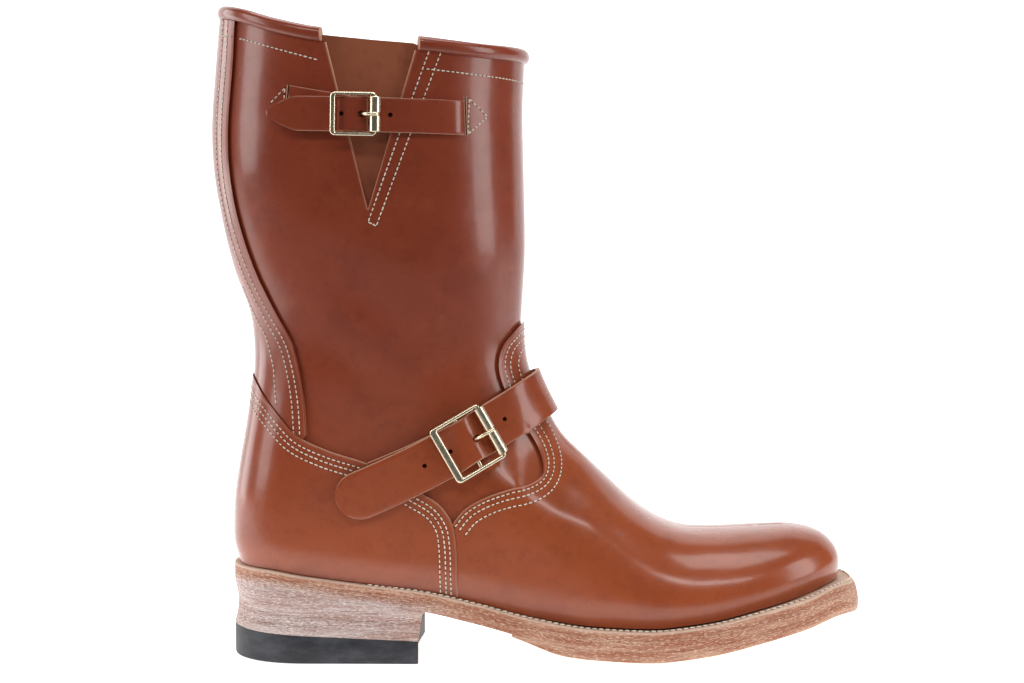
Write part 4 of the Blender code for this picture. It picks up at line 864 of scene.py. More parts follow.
def front_crossing(height, slope, shift):
    """Where a sloping line across the boot's side meets the front line."""
    anchor = np.array([np.interp(height, FRONT[LEG_FROM:, 1], FRONT[LEG_FROM:, 0]), height])
    along = np.array([math.cos(slope), math.sin(slope)])
    across = np.array([-along[1], along[0]])
    instep = FRONT[INSTEP_FROM:]
    side = (instep - anchor) @ across - shift
    k = int(np.nonzero(np.diff(np.sign(side)))[0][0])
    share = side[k] / (side[k] - side[k + 1])
    return instep[k] + (instep[k + 1] - instep[k]) * share


def lift_at(table, length, distances):
    """Height of a strap's underside over the upper, at places along the strap."""
    rows = column(table, "along") * length
    return interpolate(distances, rows, column(table, "lift")) * BUCKLE_LIFT


def round_end(distances, end, half, radius, power=2.0):
    """Half widths that close in a rounded or pointed tip at the far end."""
    share = np.clip((end - np.asarray(distances)) / radius, 0.0, 1.0)
    return half * np.maximum((1.0 - (1.0 - share) ** power) ** (1.0 / power), 0.05)


# Building meshes from grids


def grid_faces(rows, around, wrap=False, first=0):
    """Quads of a grid of points; wrap joins its last column to its first."""
    across = around if wrap else around - 1
    i, j = np.meshgrid(np.arange(rows - 1), np.arange(across), indexing="ij")
    k = (j + 1) % around
    low, high = i * around, (i + 1) * around
    quads = np.stack([low + j, low + k, high + k, high + j], axis=-1)
    return quads.reshape(-1, 4) + first


class Form:
    """Points, faces and values of a piece, gathered before it becomes a mesh."""

    def __init__(self):
        self.points, self.faces, self.slots, self.edge, self.run = [], [], [], [], []
        self.count = 0

    def add(self, points, faces, slot=0, edge=0.0, run=None):
        points = np.asarray(points, float).reshape(-1, 3)
        first = self.count
        self.faces += [tuple(int(c) + first for c in face) for face in faces]
        self.slots += [slot] * len(faces)
        self.points.append(points)
        self.edge.append(np.broadcast_to(np.asarray(edge, float).reshape(-1), (len(points),)))
        run = np.zeros((len(points), 3)) if run is None else np.asarray(run, float)
        self.run.append(run.reshape(-1, 3))
        self.count += len(points)
        return first

    def face(self, corners, slot=0):
        self.faces.append(tuple(int(c) for c in corners))
        self.slots.append(slot)

    def loft(self, sections, slot=0, edge=0.0, run=None, caps=True):
        """Closed solid through rings of points: [ring, place round it, xyz]."""
        rings, around = sections.shape[:2]
        first = self.add(sections, grid_faces(rings, around, wrap=True), slot, edge, run)
        if caps:
            self.face(range(first + around - 1, first - 1, -1), slot)
            last = first + (rings - 1) * around
            self.face(range(last, last + around), slot)
        else:
            last = first + (rings - 1) * around
            for j in range(around):
                k = (j + 1) % around
                self.face((last + j, last + k, first + k, first + j), slot)
        return first

    def sheet(self, low, high, slot=0, edge=0.0, low_slot=None):
        """Closed solid between two open grids; its rim is joined by one strip of faces."""
        rows, across = low.shape[:2]
        edge = np.broadcast_to(np.asarray(edge, float), (rows, across)).reshape(-1)
        low_slot = slot if low_slot is None else low_slot
        first = self.add(low, grid_faces(rows, across), low_slot, edge)
        start = self.add(high, grid_faces(rows, across), slot, edge)
        rim = list(range(across)) + [i * across + across - 1 for i in range(1, rows)]
        rim += [(rows - 1) * across + j for j in range(across - 2, -1, -1)]
        rim += [i * across for i in range(rows - 2, 0, -1)]
        for a, b in zip(rim, rim[1:] + rim[:1]):
            self.face((first + a, first + b, start + b, start + a), slot)

    def wall(self, outside, inside, slot=0, inner_slot=None):
        """Closed wall between two grids of loops, open at its lowest and highest loop."""
        rows, around = outside.shape[:2]
        inner_slot = slot if inner_slot is None else inner_slot
        first = self.add(outside, grid_faces(rows, around, wrap=True), slot)
        start = self.add(inside, grid_faces(rows, around, wrap=True), inner_slot)
        top = (rows - 1) * around
        for j in range(around):
            k = (j + 1) % around
            self.face((first + j, start + j, start + k, first + k), slot)
            self.face((first + top + j, first + top + k, start + top + k, start + top + j), slot)

    def build(self, name, finishes, angle=40.0):
        points = np.concatenate(self.points) + np.array([SHIFT, 0.0, 0.0])
        mesh = bpy.data.meshes.new(name)
        mesh.from_pydata(points.tolist(), [], self.faces)
        edge, run = np.concatenate(self.edge), np.concatenate(self.run)
        mesh.attributes.new("edge", "FLOAT", "POINT").data.foreach_set("value", edge)
        mesh.attributes.new("run", "FLOAT_VECTOR", "POINT").data.foreach_set("vector", run.reshape(-1))
        for finish in finishes:
            mesh.materials.append(finish)
        mesh.polygons.foreach_set("material_index", self.slots)
        tidy = bmesh.new()
        tidy.from_mesh(mesh)
        bmesh.ops.recalc_face_normals(tidy, faces=tidy.faces)
        tidy.to_mesh(mesh)
        tidy.free()
        mesh.shade_smooth()
        mesh.set_sharp_from_angle(angle=math.radians(angle))
        piece = bpy.data.objects.new(name, mesh)
        bpy.context.scene.collection.objects.link(piece)
        return piece


def make_plain(piece):
    """Turns a piece and its modifiers into a plain mesh."""
    bpy.context.view_layer.update()
    graph = bpy.context.evaluated_depsgraph_get()
    shaped = piece.evaluated_get(graph)
    mesh = bpy.data.meshes.new_from_object(shaped, preserve_all_data_layers=True, depsgraph=graph)
    piece.modifiers.clear()
    old, piece.data = piece.data, mesh
    bpy.data.meshes.remove(old)
    return piece


def shape_with(piece, cutter, operation):
    """Cuts a piece with another form, which is then removed."""
    cut = piece.modifiers.new("cut", "BOOLEAN")
    cut.operation, cut.solver, cut.object = operation, "EXACT", cutter
    make_plain(piece)
    piece.data.set_sharp_from_angle(angle=math.radians(40.0))
    bpy.data.objects.remove(cutter)
    return piece


def prism(outline, low_y, high_y, finish):
    """A side outline drawn out along Y, as a cutter."""
    form = Form()
    line = np.asarray(outline, float)
    near = np.stack([line[:, 0], np.full(len(line), low_y), line[:, 1]], axis=1)
    far = near + np.array([0.0, high_y - low_y, 0.0])
    form.loft(np.stack([near, far]))
    return form.build("cutter", [finish])


def use(piece, finish, *nodes):
    """Puts a finished piece on the boot in place of CAD nodes."""
    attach(piece, "root")
    if nodes:
        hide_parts(*nodes)
    return piece


# Laying things on the skin of the upper


class Skin:
    """The outside of the upper's leather, creases included."""

    def __init__(self, points):
        rows, around = points.shape[:2]
        self.points = points
        self.flat = points.reshape(-1, 3)
        self.normals = normals(points).reshape(-1, 3)
        self.faces = grid_faces(rows, around, wrap=True)
        self.tree = BVHTree.FromPolygons(self.flat.tolist(), self.faces.tolist())

    def snap(self, places):
        spots, outs = [], []
        for place in places:
            spot, _, face, _ = self.tree.find_nearest(Vector(place))
            corners = self.faces[face]
            weights = poly_3d_calc([Vector(p) for p in self.flat[corners]], spot)
            out = np.array(weights) @ self.normals[corners]
            spots.append(np.array(spot))
            outs.append(out / np.linalg.norm(out))
        return np.array(spots), np.array(outs)

    def collar(self, x):
        """Height of the collar over a place, on the outer side."""
        top = self.points[-1][: len(self.points[-1]) // 2]
        return np.interp(x, top[:, 0], top[:, 2])

    def trace(self, line, sides, step, top_gap=0.0):
        """A side line laid on the skin, at even steps of its length: points and normals."""
        dense = even_steps(np.asarray(line, float), 1600)
        x, z = dense.T
        inside = (z < self.collar(x) - top_gap) & (z > feather_height(x))
        halves = []
        for inner in sides:
            width = half_width(x, z, inner)
            y = middle(x) + np.where(inner, width, -width)
            keep = inside & (width > LEAST_WIDTH)
            halves.append(np.stack([x, y, z], axis=1)[keep])
        path = halves[0] if len(halves) == 1 else np.concatenate([halves[0], halves[1][::-1]])
        length = np.linalg.norm(np.diff(path, axis=0), axis=1).sum()
        return self.snap(even_steps(path, max(3, int(round(length / step)) + 1)))


def run_axes(points, outs):
    """Unit vectors along a line on the skin and across it, towards its left."""
    along = np.gradient(points, axis=0)
    along /= np.linalg.norm(along, axis=1, keepdims=True)
    across = np.cross(outs, along)
    return along, across / np.linalg.norm(across, axis=1, keepdims=True)


def lay_profile(form, points, outs, profile, side=1.0, slot=0):
    """Sweeps a profile of (distance across, height, edge share) rows along a line on the skin."""
    across = run_axes(points, outs)[1] * side
    rows = np.array(profile, float)
    sections = (
        points[:, None]
        + across[:, None] * rows[None, :, 0, None]
        + outs[:, None] * rows[None, :, 1, None]
    )
    form.loft(sections, slot, edge=np.tile(rows[:, 2], len(points)))


def edge_profile(low, leather):
    """Rounded cut edge of a panel whose underside is at low: across, height, edge share."""
    top = low + leather
    return [
        (0.00030, low - 0.0002, 1.0),
        (-0.00010, low, 1.0),
        (-0.00018, low + 0.5 * leather, 1.0),
        (-0.00010, top - 0.00028, 1.0),
        (0.00008, top - 0.00008, 0.8),
        (0.00028, top + 0.00001, 0.35),
        (0.00060, top + 0.00003, 0.05),
        (0.00100, top + 0.00002, 0.0),
        (0.00140, top - 0.00012, 0.0),
    ]


# Stitches and needle holes


def sewing_tree():
    """Repeats one small rounded form on every point, turned by its own two directions."""
    tree = bpy.data.node_groups.new("sewing", "GeometryNodeTree")
    face = tree.interface
    face.new_socket("Geometry", in_out="INPUT", socket_type="NodeSocketGeometry")
    for name in ("Length", "Width", "Height", "Rise"):
        face.new_socket(name, in_out="INPUT", socket_type="NodeSocketFloat")
    face.new_socket("Finish", in_out="INPUT", socket_type="NodeSocketMaterial")
    face.new_socket("Geometry", in_out="OUTPUT", socket_type="NodeSocketGeometry")

    def node(kind, links=(), **settings):
        made = tree.nodes.new(kind)
        for key, value in settings.items():
            setattr(made, key, value)
        for socket, source in links:
            if isinstance(source, bpy.types.NodeSocket):
                tree.links.new(source, made.inputs[socket])
            else:
                made.inputs[socket].default_value = source
        return made

    given = node("NodeGroupInput").outputs
    sphere = [("Segments", 8), ("Rings", 6), ("Radius", 0.5)]
    ball = node("GeometryNodeMeshUVSphere", sphere).outputs["Mesh"]
    lengths = [("X", given["Length"]), ("Y", given["Width"]), ("Z", given["Height"])]
    size = node("ShaderNodeCombineXYZ", lengths)
    form = node("GeometryNodeTransform", [("Geometry", ball), ("Scale", size.outputs[0])]).outputs[0]
    out, along = (
        node("GeometryNodeInputNamedAttribute", [("Name", name)], data_type="FLOAT_VECTOR").outputs[0]
        for name in ("out", "along")
    )
    axes = [("Primary Axis", out), ("Secondary Axis", along)]
    turn = node("FunctionNodeAxesToRotation", axes, primary_axis="Z", secondary_axis="X").outputs[0]
    spots = node("GeometryNodeMeshToPoints", [("Mesh", given["Geometry"])]).outputs[0]
    rise = [("Vector", out), ("Scale", given["Rise"])]
    lift = node("ShaderNodeVectorMath", rise, operation="SCALE").outputs[0]
    spots = node("GeometryNodeSetPosition", [("Geometry", spots), ("Offset", lift)]).outputs[0]
    spread = [(2, 0.88), (3, 1.10), ("Seed", 7)]
    scale = node("FunctionNodeRandomValue", spread, data_type="FLOAT").outputs[1]
    copies = [("Points", spots), ("Instance", form), ("Rotation", turn), ("Scale", scale)]
    set_out = node("GeometryNodeInstanceOnPoints", copies).outputs[0]
    real = node("GeometryNodeRealizeInstances", [("Geometry", set_out)]).outputs[0]
    smooth = node("GeometryNodeSetShadeSmooth", [("Geometry", real)]).outputs[0]
    dressed = [("Geometry", smooth), ("Material", given["Finish"])]
    done = node("GeometryNodeSetMaterial", dressed).outputs[0]
    node("NodeGroupOutput", [("Geometry", done)])
    return tree


def sew(name, tree, spots, finish, length, width, height, rise):
    """One object with the same small form at every spot: (points, directions, outward)."""
    points, along, out = (np.concatenate([s[k] for s in spots]) for k in range(3))
    mesh = bpy.data.meshes.new(name)
    mesh.from_pydata((points + np.array([SHIFT, 0.0, 0.0])).tolist(), [], [])
    mesh.attributes.new("along", "FLOAT_VECTOR", "POINT").data.foreach_set("vector", along.reshape(-1))
    mesh.attributes.new("out", "FLOAT_VECTOR", "POINT").data.foreach_set("vector", out.reshape(-1))
    piece = bpy.data.objects.new(name, mesh)
    bpy.context.scene.collection.objects.link(piece)
    modifier = piece.modifiers.new("sewing", "NODES")
    modifier.node_group = tree
    wanted = {"Length": length, "Width": width, "Height": height, "Rise": rise, "Finish": finish}
    for socket in tree.interface.items_tree:
        if socket.in_out == "INPUT" and socket.name in wanted:
            modifier[socket.identifier] = wanted[socket.name]
    make_plain(piece)
    piece.data.materials.clear()
    piece.data.materials.append(finish)
    return piece


class Sewing:
    """Collects rows of stitches, and the needle holes between them, which get dark marks of painted shade.
    """

    def __init__(self):
        self.threads, self.holes = [], []

    def row(self, points, outs, lift):
        """A row whose needle holes are at the given points."""
        along, _ = run_axes(points, outs)
        place = points + outs * lift
        self.holes.append((place, along, outs))
        mid, out = (place[1:] + place[:-1]) / 2, outs[1:] + outs[:-1]
        step = place[1:] - place[:-1]
        step /= np.linalg.norm(step, axis=1, keepdims=True)
        self.threads.append((mid, step, out / np.linalg.norm(out, axis=1, keepdims=True)))

    def build(self, tree, prefix, pitch, width, finishes):
        """Two objects: the stitches, and dark marks of painted shade at the needle holes between them."""
        stitch = (0.82 * pitch, width, 0.8 * width, 0.00010)
        use(sew(prefix + "_stitches", tree, self.threads, finishes["thread"], *stitch), None)
        use(sew(prefix + "_needle_holes", tree, self.holes, finishes["hole"], *HOLE_SHADE_SIZE), None)


# Finishes


class Value:
    """A shader socket that takes part in sums written out in plain arithmetic."""

    def __init__(self, maker, socket):
        self.maker, self.socket = maker, socket

    def _math(self, operation, *others, clamp=False):
        return self.maker.node("ShaderNodeMath", {"operation": operation, "use_clamp": clamp},
                               dict(enumerate((self, *others))))

    def __add__(self, other):
        return self._math("ADD", other)

    def __radd__(self, other):
        return self.maker.number(other)._math("ADD", self)

    def __sub__(self, other):
        return self._math("SUBTRACT", other)

    def __rsub__(self, other):
        return self.maker.number(other)._math("SUBTRACT", self)

    def __mul__(self, other):
        return self._math("MULTIPLY", other)

    def __rmul__(self, other):
        return self.maker.number(other)._math("MULTIPLY", self)

    def __truediv__(self, other):
        return self._math("DIVIDE", other)

    def __rtruediv__(self, other):
        return self.maker.number(other)._math("DIVIDE", self)

    def __pow__(self, other):
        return self._math("POWER", other)

    def __rpow__(self, other):
        return self.maker.number(other)._math("POWER", self)

    def clamped(self):
        return self._math("ADD", 0.0, clamp=True)

    def between(self, low, high):
        """0 under low, 1 over high, and smooth from one to the other."""
        sockets = {"Value": self, "From Min": low, "From Max": high, "To Min": 0.0, "To Max": 1.0}
        return self.maker.node("ShaderNodeMapRange", {"interpolation_type": "SMOOTHSTEP"}, sockets)


SHADER_SOCKETS = {
    "colour": "Base Color",
    "roughness": "Roughness",
    "metallic": "Metallic",
    "normal": "Normal",
    "coat": "Coat Weight",
    "coat_roughness": "Coat Roughness",
    "specular": "Specular IOR Level",
}


class Maker:
    """Makes one material's nodes."""

    def __init__(self, name):
        self.material = bpy.data.materials.new(name)
        self.material.use_nodes = True
        self.tree = self.material.node_tree
        self.shader = self.tree.nodes["Principled BSDF"]

    def node(self, kind, settings=None, sockets=None, out=0):
        """Any node: its type, its settings, then its sockets."""
        made = self.tree.nodes.new(kind)
        for key, value in (settings or {}).items():
            setattr(made, key, value)
        for key, value in (sockets or {}).items():
            self.join(made.inputs[key], value)
        return Value(self, made.outputs[out])

    def join(self, socket, value):
        if isinstance(value, Value):
            self.tree.links.new(value.socket, socket)
        else:
            socket.default_value = value

    def number(self, value):
        made = self.tree.nodes.new("ShaderNodeValue")
        made.outputs[0].default_value = value
        return Value(self, made.outputs[0])

    def place(self):
        return self.node("ShaderNodeTexCoord", {}, {}, "Object")

    def attribute(self, name, out="Fac"):
        return self.node("ShaderNodeAttribute", {"attribute_name": name}, {}, out)

    def parts(self, vector):
        split = self.node("ShaderNodeSeparateXYZ", {}, {0: vector})
        return [Value(self, split.socket.node.outputs[k]) for k in range(3)]

    def stretched(self, vector, scale):
        return self.node("ShaderNodeVectorMath", {"operation": "MULTIPLY"}, {0: vector, 1: scale})

    def noise(self, vector, scale, detail=3.0, rough=0.5):
        sockets = {"Vector": vector, "Scale": scale, "Detail": detail, "Roughness": rough}
        return self.node("ShaderNodeTexNoise", {"noise_dimensions": "3D"}, sockets, "Fac")

    def mix(self, share, a, b):
        """Colour a where share is 0 and b where it is 1."""
        made = self.tree.nodes.new("ShaderNodeMix")
        made.data_type = "RGBA"
        self.join(made.inputs[0], share)
        for socket, colour in ((made.inputs[6], a), (made.inputs[7], b)):
            self.join(socket, colour if isinstance(colour, Value) else (*colour, 1.0))
        return Value(self, made.outputs[2])

    def bump(self, height, strength, distance, under=None):
        sockets = {"Strength": strength, "Distance": distance, "Height": height}
        if under is not None:
            sockets["Normal"] = under
        return self.node("ShaderNodeBump", {}, sockets)

    def shade(self, **sockets):
        for key, value in sockets.items():
            if key == "colour" and not isinstance(value, Value):
                value = (*value, 1.0)
            self.join(self.shader.inputs[SHADER_SOCKETS[key]], value)
        return self.material


def glazed_leather(name, foot, leg, raw):
    """Glossy dyed leather, lighter over the foot, with pale raw edges where the edge value is high."""
    m = Maker(name)
    place = m.place()
    x, _, z = m.parts(place)
    height = (z - 0.35 * x).between(0.02, 0.17)
    broad = m.noise(place, 14.0, 2.0)
    cloud = m.noise(place, 42.0, 5.0, 0.62)
    fine = m.noise(place, 210.0, 5.0, 0.65)
    pores = m.noise(place, 1500.0, 2.0, 0.5)
    colour = m.mix(height, foot, leg)
    darker = m.mix(0.55, colour, (0.10, 0.014, 0.006))
    lighter = m.mix(0.35, colour, (0.62, 0.22, 0.08))
    colour = m.mix(broad.between(0.35, 0.75) * 0.35, colour, darker)
    colour = m.mix(cloud.between(0.48, 0.70) * 0.42, colour, darker)
    colour = m.mix(fine.between(0.50, 0.68) * 0.32, colour, darker)
    colour = m.mix(m.noise(place, 75.0, 4.0, 0.7).between(0.52, 0.75) * 0.14, colour, lighter)
    scuffs = m.noise(m.stretched(place, (1.0, 1.0, 5.0)), 160.0, 5.0, 0.7).between(0.64, 0.78)
    colour = m.mix(scuffs * 0.16, colour, (0.60, 0.30, 0.18))
    edge = m.attribute("edge")
    fibres = m.noise(place, 900.0, 3.0, 0.7)
    bare = (edge + (fibres - 0.5) * 0.35 * edge).clamped()
    colour = m.mix(bare, colour, raw)
    wear = m.noise(place, 60.0, 4.0, 0.6)
    roughness = 0.16 + wear * 0.12 + fine * 0.06 + bare * 0.40
    soft = m.bump(m.noise(place, 26.0, 2.0), 0.30, 0.0035)
    soft = m.bump(m.noise(place, 140.0, 3.0), 0.12, 0.0007, soft)
    grain = m.bump(pores, 0.06, 0.0002, soft)
    coat = 0.30 - bare * 0.30
    return m.shade(
        colour=colour, roughness=roughness, normal=grain, coat=coat, coat_roughness=0.10, specular=0.45
    )


def flesh_leather():
    m = Maker("flesh_leather")
    place = m.place()
    nap = m.noise(place, 700.0, 4.0, 0.7)
    colour = m.mix(nap, (0.30, 0.155, 0.09), (0.46, 0.27, 0.17))
    return m.shade(colour=colour, roughness=0.82, normal=m.bump(nap, 0.3, 0.0003))


def sole_leather(name, bands):
    """Cut, sanded edges of sole leather: flecks and streaks along the layers, whiter at the heel."""
    m = Maker(name)
    place, run = m.place(), m.attribute("run", "Vector")
    x, _, _ = m.parts(place)
    _, down, _ = m.parts(run)
    heel = (1.0 - x.between(0.030, 0.070)) * down.between(0.003, 0.010)
    flecks = m.noise(m.stretched(run, (520.0, 1700.0, 0.0)), 1.0, 3.0, 0.7)
    lines = m.noise(m.stretched(run, (60.0, 1300.0, 0.0)), 1.0, 4.0, 0.65)
    broad = m.noise(m.stretched(run, (22.0, 240.0, 0.0)), 1.0, 3.0, 0.6)
    pale = m.mix(heel, (0.56, 0.34, 0.235), (0.64, 0.54, 0.515))
    warm = m.mix(heel, (0.38, 0.155, 0.085), (0.46, 0.32, 0.285))
    dark = m.mix(heel, (0.25, 0.065, 0.032), (0.24, 0.115, 0.085))
    colour = m.mix(broad.between(0.36, 0.62), pale, warm)
    colour = m.mix(lines.between(0.50, 0.64) * 0.60, colour, dark)
    amount = 0.42
    for low, high, strength in bands:
        middle_line, half = (low + high) / 2, (high - low) / 2
        inside = 1.0 - ((down - middle_line) / half) ** 2
        amount = amount + inside.clamped() * strength
    colour = m.mix((flecks.between(0.46, 0.60) * amount).clamped(), colour, dark)
    white = m.noise(m.stretched(run, (380.0, 1500.0, 5.0)), 1.0, 3.0, 0.7).between(0.53, 0.64)
    colour = m.mix(white * 0.62, colour, m.mix(heel, (0.80, 0.62, 0.48), (0.84, 0.78, 0.74)))
    corner = 1.0 - down.between(0.0009, 0.0019)
    colour = m.mix(corner * 0.55, colour, (0.74, 0.58, 0.46))
    fuzz = m.bump(flecks, 0.45, 0.0003, m.bump(m.noise(place, 1500.0, 3.0, 0.7), 0.20, 0.0002))
    return m.shade(colour=colour, roughness=0.62, normal=fuzz, specular=0.3)


def black_rubber():
    m = Maker("black_rubber")
    place = m.place()
    dust = m.noise(m.stretched(place, (1.0, 1.0, 2.5)), 55.0, 5.0, 0.7)
    pits = m.noise(place, 1800.0, 2.0)
    colour = m.mix(dust.between(0.35, 0.75), (0.010, 0.011, 0.015), (0.046, 0.048, 0.060))
    return m.shade(colour=colour, roughness=0.46 + dust * 0.15, normal=m.bump(pits, 0.2, 0.0002))


def polished_brass():
    m = Maker("polished_brass")
    place = m.place()
    smear = m.noise(place, 240.0, 4.0, 0.6)
    colour = m.mix(smear, (0.84, 0.72, 0.48), (0.94, 0.87, 0.70))
    return m.shade(colour=colour, roughness=0.20 + smear * 0.14, metallic=1.0)


def plain(name, colour, roughness, specular=0.5):
    return Maker(name).shade(colour=colour, roughness=roughness, specular=specular)


def make_finishes():
    foot, leg = (0.360, 0.078, 0.025), (0.268, 0.048, 0.020)
    raw = (0.60, 0.34, 0.22)
    return {
        "leather": glazed_leather("glazed_leather", foot, leg, raw),
        "gusset": glazed_leather("gusset_leather", (0.33, 0.10, 0.05), (0.33, 0.10, 0.05), raw),
        "lining": flesh_leather(),
        "sole": sole_leather("natural_sole_leather", ((0.0015, 0.0095, 0.42),)),
        "stack": sole_leather("stacked_heel_leather", ((0.009, 0.017, 0.20), (0.0225, 0.0295, 0.50))),
        "rubber": black_rubber(),
        "metal": polished_brass(),
        "thread": plain("cream_thread", (0.84, 0.74, 0.60), 0.75),
        # Dark marks at needle holes and inside punched holes: painted shade
        "hole": plain("needle_hole", (0.035, 0.012, 0.008), 0.9, 0.1),
        "shadow": plain("painted_slit_shadow", (0.020, 0.008, 0.005), 0.9, 0.1),
    }


# The upper and what is sewn to it


def crease(points, line, depth, width, inner):
    """How far a soft hollow with a rounded ridge on either side moves each point outwards."""
    line = np.asarray(line, float)
    flat = points[..., [0, 2]].reshape(-1, 2)
    near = np.full(len(flat), 1e9)
    share = np.zeros(len(flat))
    for k in range(len(line) - 1):
        span = line[k + 1] - line[k]
        t = np.clip((flat - line[k]) @ span / (span @ span), 0.0, 1.0)
        gap = np.linalg.norm(flat - line[k] - t[:, None] * span, axis=1)
        closer = gap < near
        near = np.where(closer, gap, near)
        share = np.where(closer, (k + t) / (len(line) - 1), share)
    fade = np.sin(math.pi * np.clip(share, 0.02, 0.98)) ** 0.7
    ridge = 0.55 * np.exp(-(((near - 2.0 * width) / (1.1 * width)) ** 2))
    profile = ridge - np.exp(-((near / width) ** 2))
    side = points[..., 1].reshape(-1)
    here = side > 0.004 if inner else side < -0.004
    return (profile * depth * fade * here).reshape(points.shape[:2])


def skin_points():
    points = body_points(np.linspace(0.0, 1.0, SKIN_ROWS), SKIN_COLUMNS)
    out = normals(points)
    for line, depth, width, inner in CREASES:
        points = points + out * crease(points, line, depth, width, inner)[..., None]
    return points


def raw_line(form, skin, line, sides, leather, turn, top_gap=0.0, low=PANEL_GAP):
    """The rounded cut edge of a panel, along its seam."""
    points, outs = skin.trace(line, sides, EDGE_STEP, top_gap)
    lay_profile(form, points, outs, edge_profile(low, leather), turn)


def sew_along(skin, sewing, line, sides, lift, top_gap=0.0):
    """A row of stitches along a line seen from the side."""
    points, outs = skin.trace(line, sides, STITCH, top_gap)
    sewing.row(points, outs, lift)


def build_upper(skin, finishes, sewing):
    wall = Form()
    wall.wall(skin.points, offset(skin.points, -UPPER_WALL), 0, 1)
    upper = wall.build("upper_fine", [finishes["leather"], finishes["lining"]])
    cutter = prism(notch_outline(0.0)[::2], -0.2, -0.01, finishes["leather"])
    shape_with(upper, cutter, "DIFFERENCE")
    edges = Form()
    apex = NOTCH_APEX_HEIGHT - 0.0009
    for top, side in ((NOTCH_REAR, 1.0), (NOTCH_FRONT, -1.0)):
        line = [(NOTCH_APEX, apex), (top, COLLAR_BACK)]
        raw_line(edges, skin, line, OUTER, UPPER_WALL + 0.0001, side, RIM_GAP, -UPPER_WALL)
    edge = edges.build("notch_edges", [finishes["leather"]])
    use(upper, "glazed_leather", "upper")
    use(edge, "glazed_leather")
    build_slits(skin, finishes)
    for line in STAY_ROWS:
        sew_along(skin, sewing, line, OUTER, PANEL_GAP + BACKSTAY_LEATHER)
    for line in NOTCH_ROWS + RIM_ROWS + STRAP_ROWS:
        sew_along(skin, sewing, line, OUTER, 0.0)
    sew_along(skin, sewing, INNER_RIM_ROW, INNER, 0.0)


def build_slits(skin, finishes):
    """The two slits that the ends of the top strap go through."""
    form, dark = Form(), Form()
    low, high = -0.0003, 0.00008
    lip = [
        (SLIT_HALF - 0.0001, -0.0002, 1.0),
        (SLIT_HALF, 0.00012, 1.0),
        (SLIT_HALF + 0.0002, 0.00022, 0.8),
        (SLIT_HALF + 0.0005, 0.00014, 0.2),
        (SLIT_HALF + 0.0008, -0.0002, 0.0),
    ]
    for line in SLITS:
        points, outs = skin.trace(line, OUTER, 0.0012)
        # A dark sheet inside each slit: painted shadow
        inside = [(-SLIT_HALF, low), (SLIT_HALF, low), (SLIT_HALF, high), (-SLIT_HALF, high)]
        lay_profile(dark, points, outs, [(*corner, 0.0) for corner in inside])
        for side in (1.0, -1.0):
            lay_profile(form, points, outs, lip, side)
    use(form.build("slit_edges", [finishes["leather"]]), "glazed_leather")
    use(dark.build("painted_slit_shadows", [finishes["shadow"]]), None)


def overlay(name, skin, outline, leather, first, last, finish):
    """A panel over the upper, cut to a side outline between two shares of the skin's rows."""
    rows = len(skin.points)
    low, high = int(round(first * (rows - 1))), int(round(last * (rows - 1))) + 1
    outside, inside = offset(skin.points, PANEL_GAP + leather), offset(skin.points, PANEL_GAP)
    shell = Form()
    shell.wall(outside[low:high], inside[low:high])
    panel = shell.build(name, [finish])
    return shape_with(panel, prism(outline, -0.2, 0.2, finish), "INTERSECT")


def build_panels(skin, finishes, sewing):
    leather = finishes["leather"]
    far, top = 1.3 * LAST_LENGTH, COLLAR_BACK + 0.05
    counter = seam(COUNTER_EDGE, SEAM_POINTS)
    inside = [tuple(p) for p in side_shift(counter, SEAT_GAP / 2)]
    outline = inside + [(-0.1, inside[-1][1]), (-0.1, -0.05)]
    panel = overlay("counter_fine", skin, outline, COUNTER_LEATHER, 0.0, 12 / 18, leather)
    use(panel, "glazed_leather", "counter")
    edges = Form()
    raw_line(edges, skin, counter, ROUND, COUNTER_LEATHER, 1.0)
    use(edges.build("counter_edge", [leather]), "glazed_leather")
    for gap in (0.0030, 0.0054, 0.0082):
        sew_along(skin, sewing, side_shift(counter, gap), ROUND, PANEL_GAP + COUNTER_LEATHER)

    outside = side_shift(counter, -SEAT_GAP / 2)
    vamp = seam(VAMP_EDGE, SEAM_POINTS)
    joint = int(np.argmin(np.linalg.norm(outside - vamp[0], axis=1)))
    edge = [tuple(p) for p in outside[: joint + 1]] + [tuple(p) for p in vamp[1:]]
    outline = edge + [(far, vamp[-1][1]), (far, -0.05)]
    panel = overlay("vamp_fine", skin, outline, VAMP_LEATHER, 0.0, 14 / 18, leather)
    use(panel, "glazed_leather", "vamp")
    edges = Form()
    raw_line(edges, skin, vamp, ROUND, VAMP_LEATHER, -1.0)
    use(edges.build("vamp_edge", [leather]), "glazed_leather")
    for gap in (0.0017, 0.0043, 0.0080):
        sew_along(skin, sewing, side_shift(vamp, -gap), ROUND, PANEL_GAP + VAMP_LEATHER)

    stay = seam(BACKSTAY_EDGE, SEAM_POINTS)
    above = stay[:, 1] > np.interp(stay[:, 0], outside[::-1, 0], outside[::-1, 1])
    last = int(np.nonzero(above)[0][-1])
    below = outside[outside[:, 0] < stay[last, 0] - 0.0003]
    stay = stay[: last + 1]
    outline = [tuple(p) for p in stay] + [tuple(p) for p in below]
    outline += [(-0.1, below[-1][1]), (-0.1, top)]
    panel = overlay("backstay_fine", skin, outline, BACKSTAY_LEATHER, 7 / 18, 1.0, leather)
    use(panel, "glazed_leather", "backstay")
    edges = Form()
    for sides, turn in ((OUTER, -1.0), (INNER, 1.0)):
        raw_line(edges, skin, stay, sides, BACKSTAY_LEATHER, turn, RIM_GAP)
        for gap in (0.0027, 0.0057):
            row = side_shift(stay, -gap)
            sew_along(skin, sewing, row, sides, PANEL_GAP + BACKSTAY_LEATHER, RIM_GAP)
    use(edges.build("backstay_edge", [leather]), "glazed_leather")


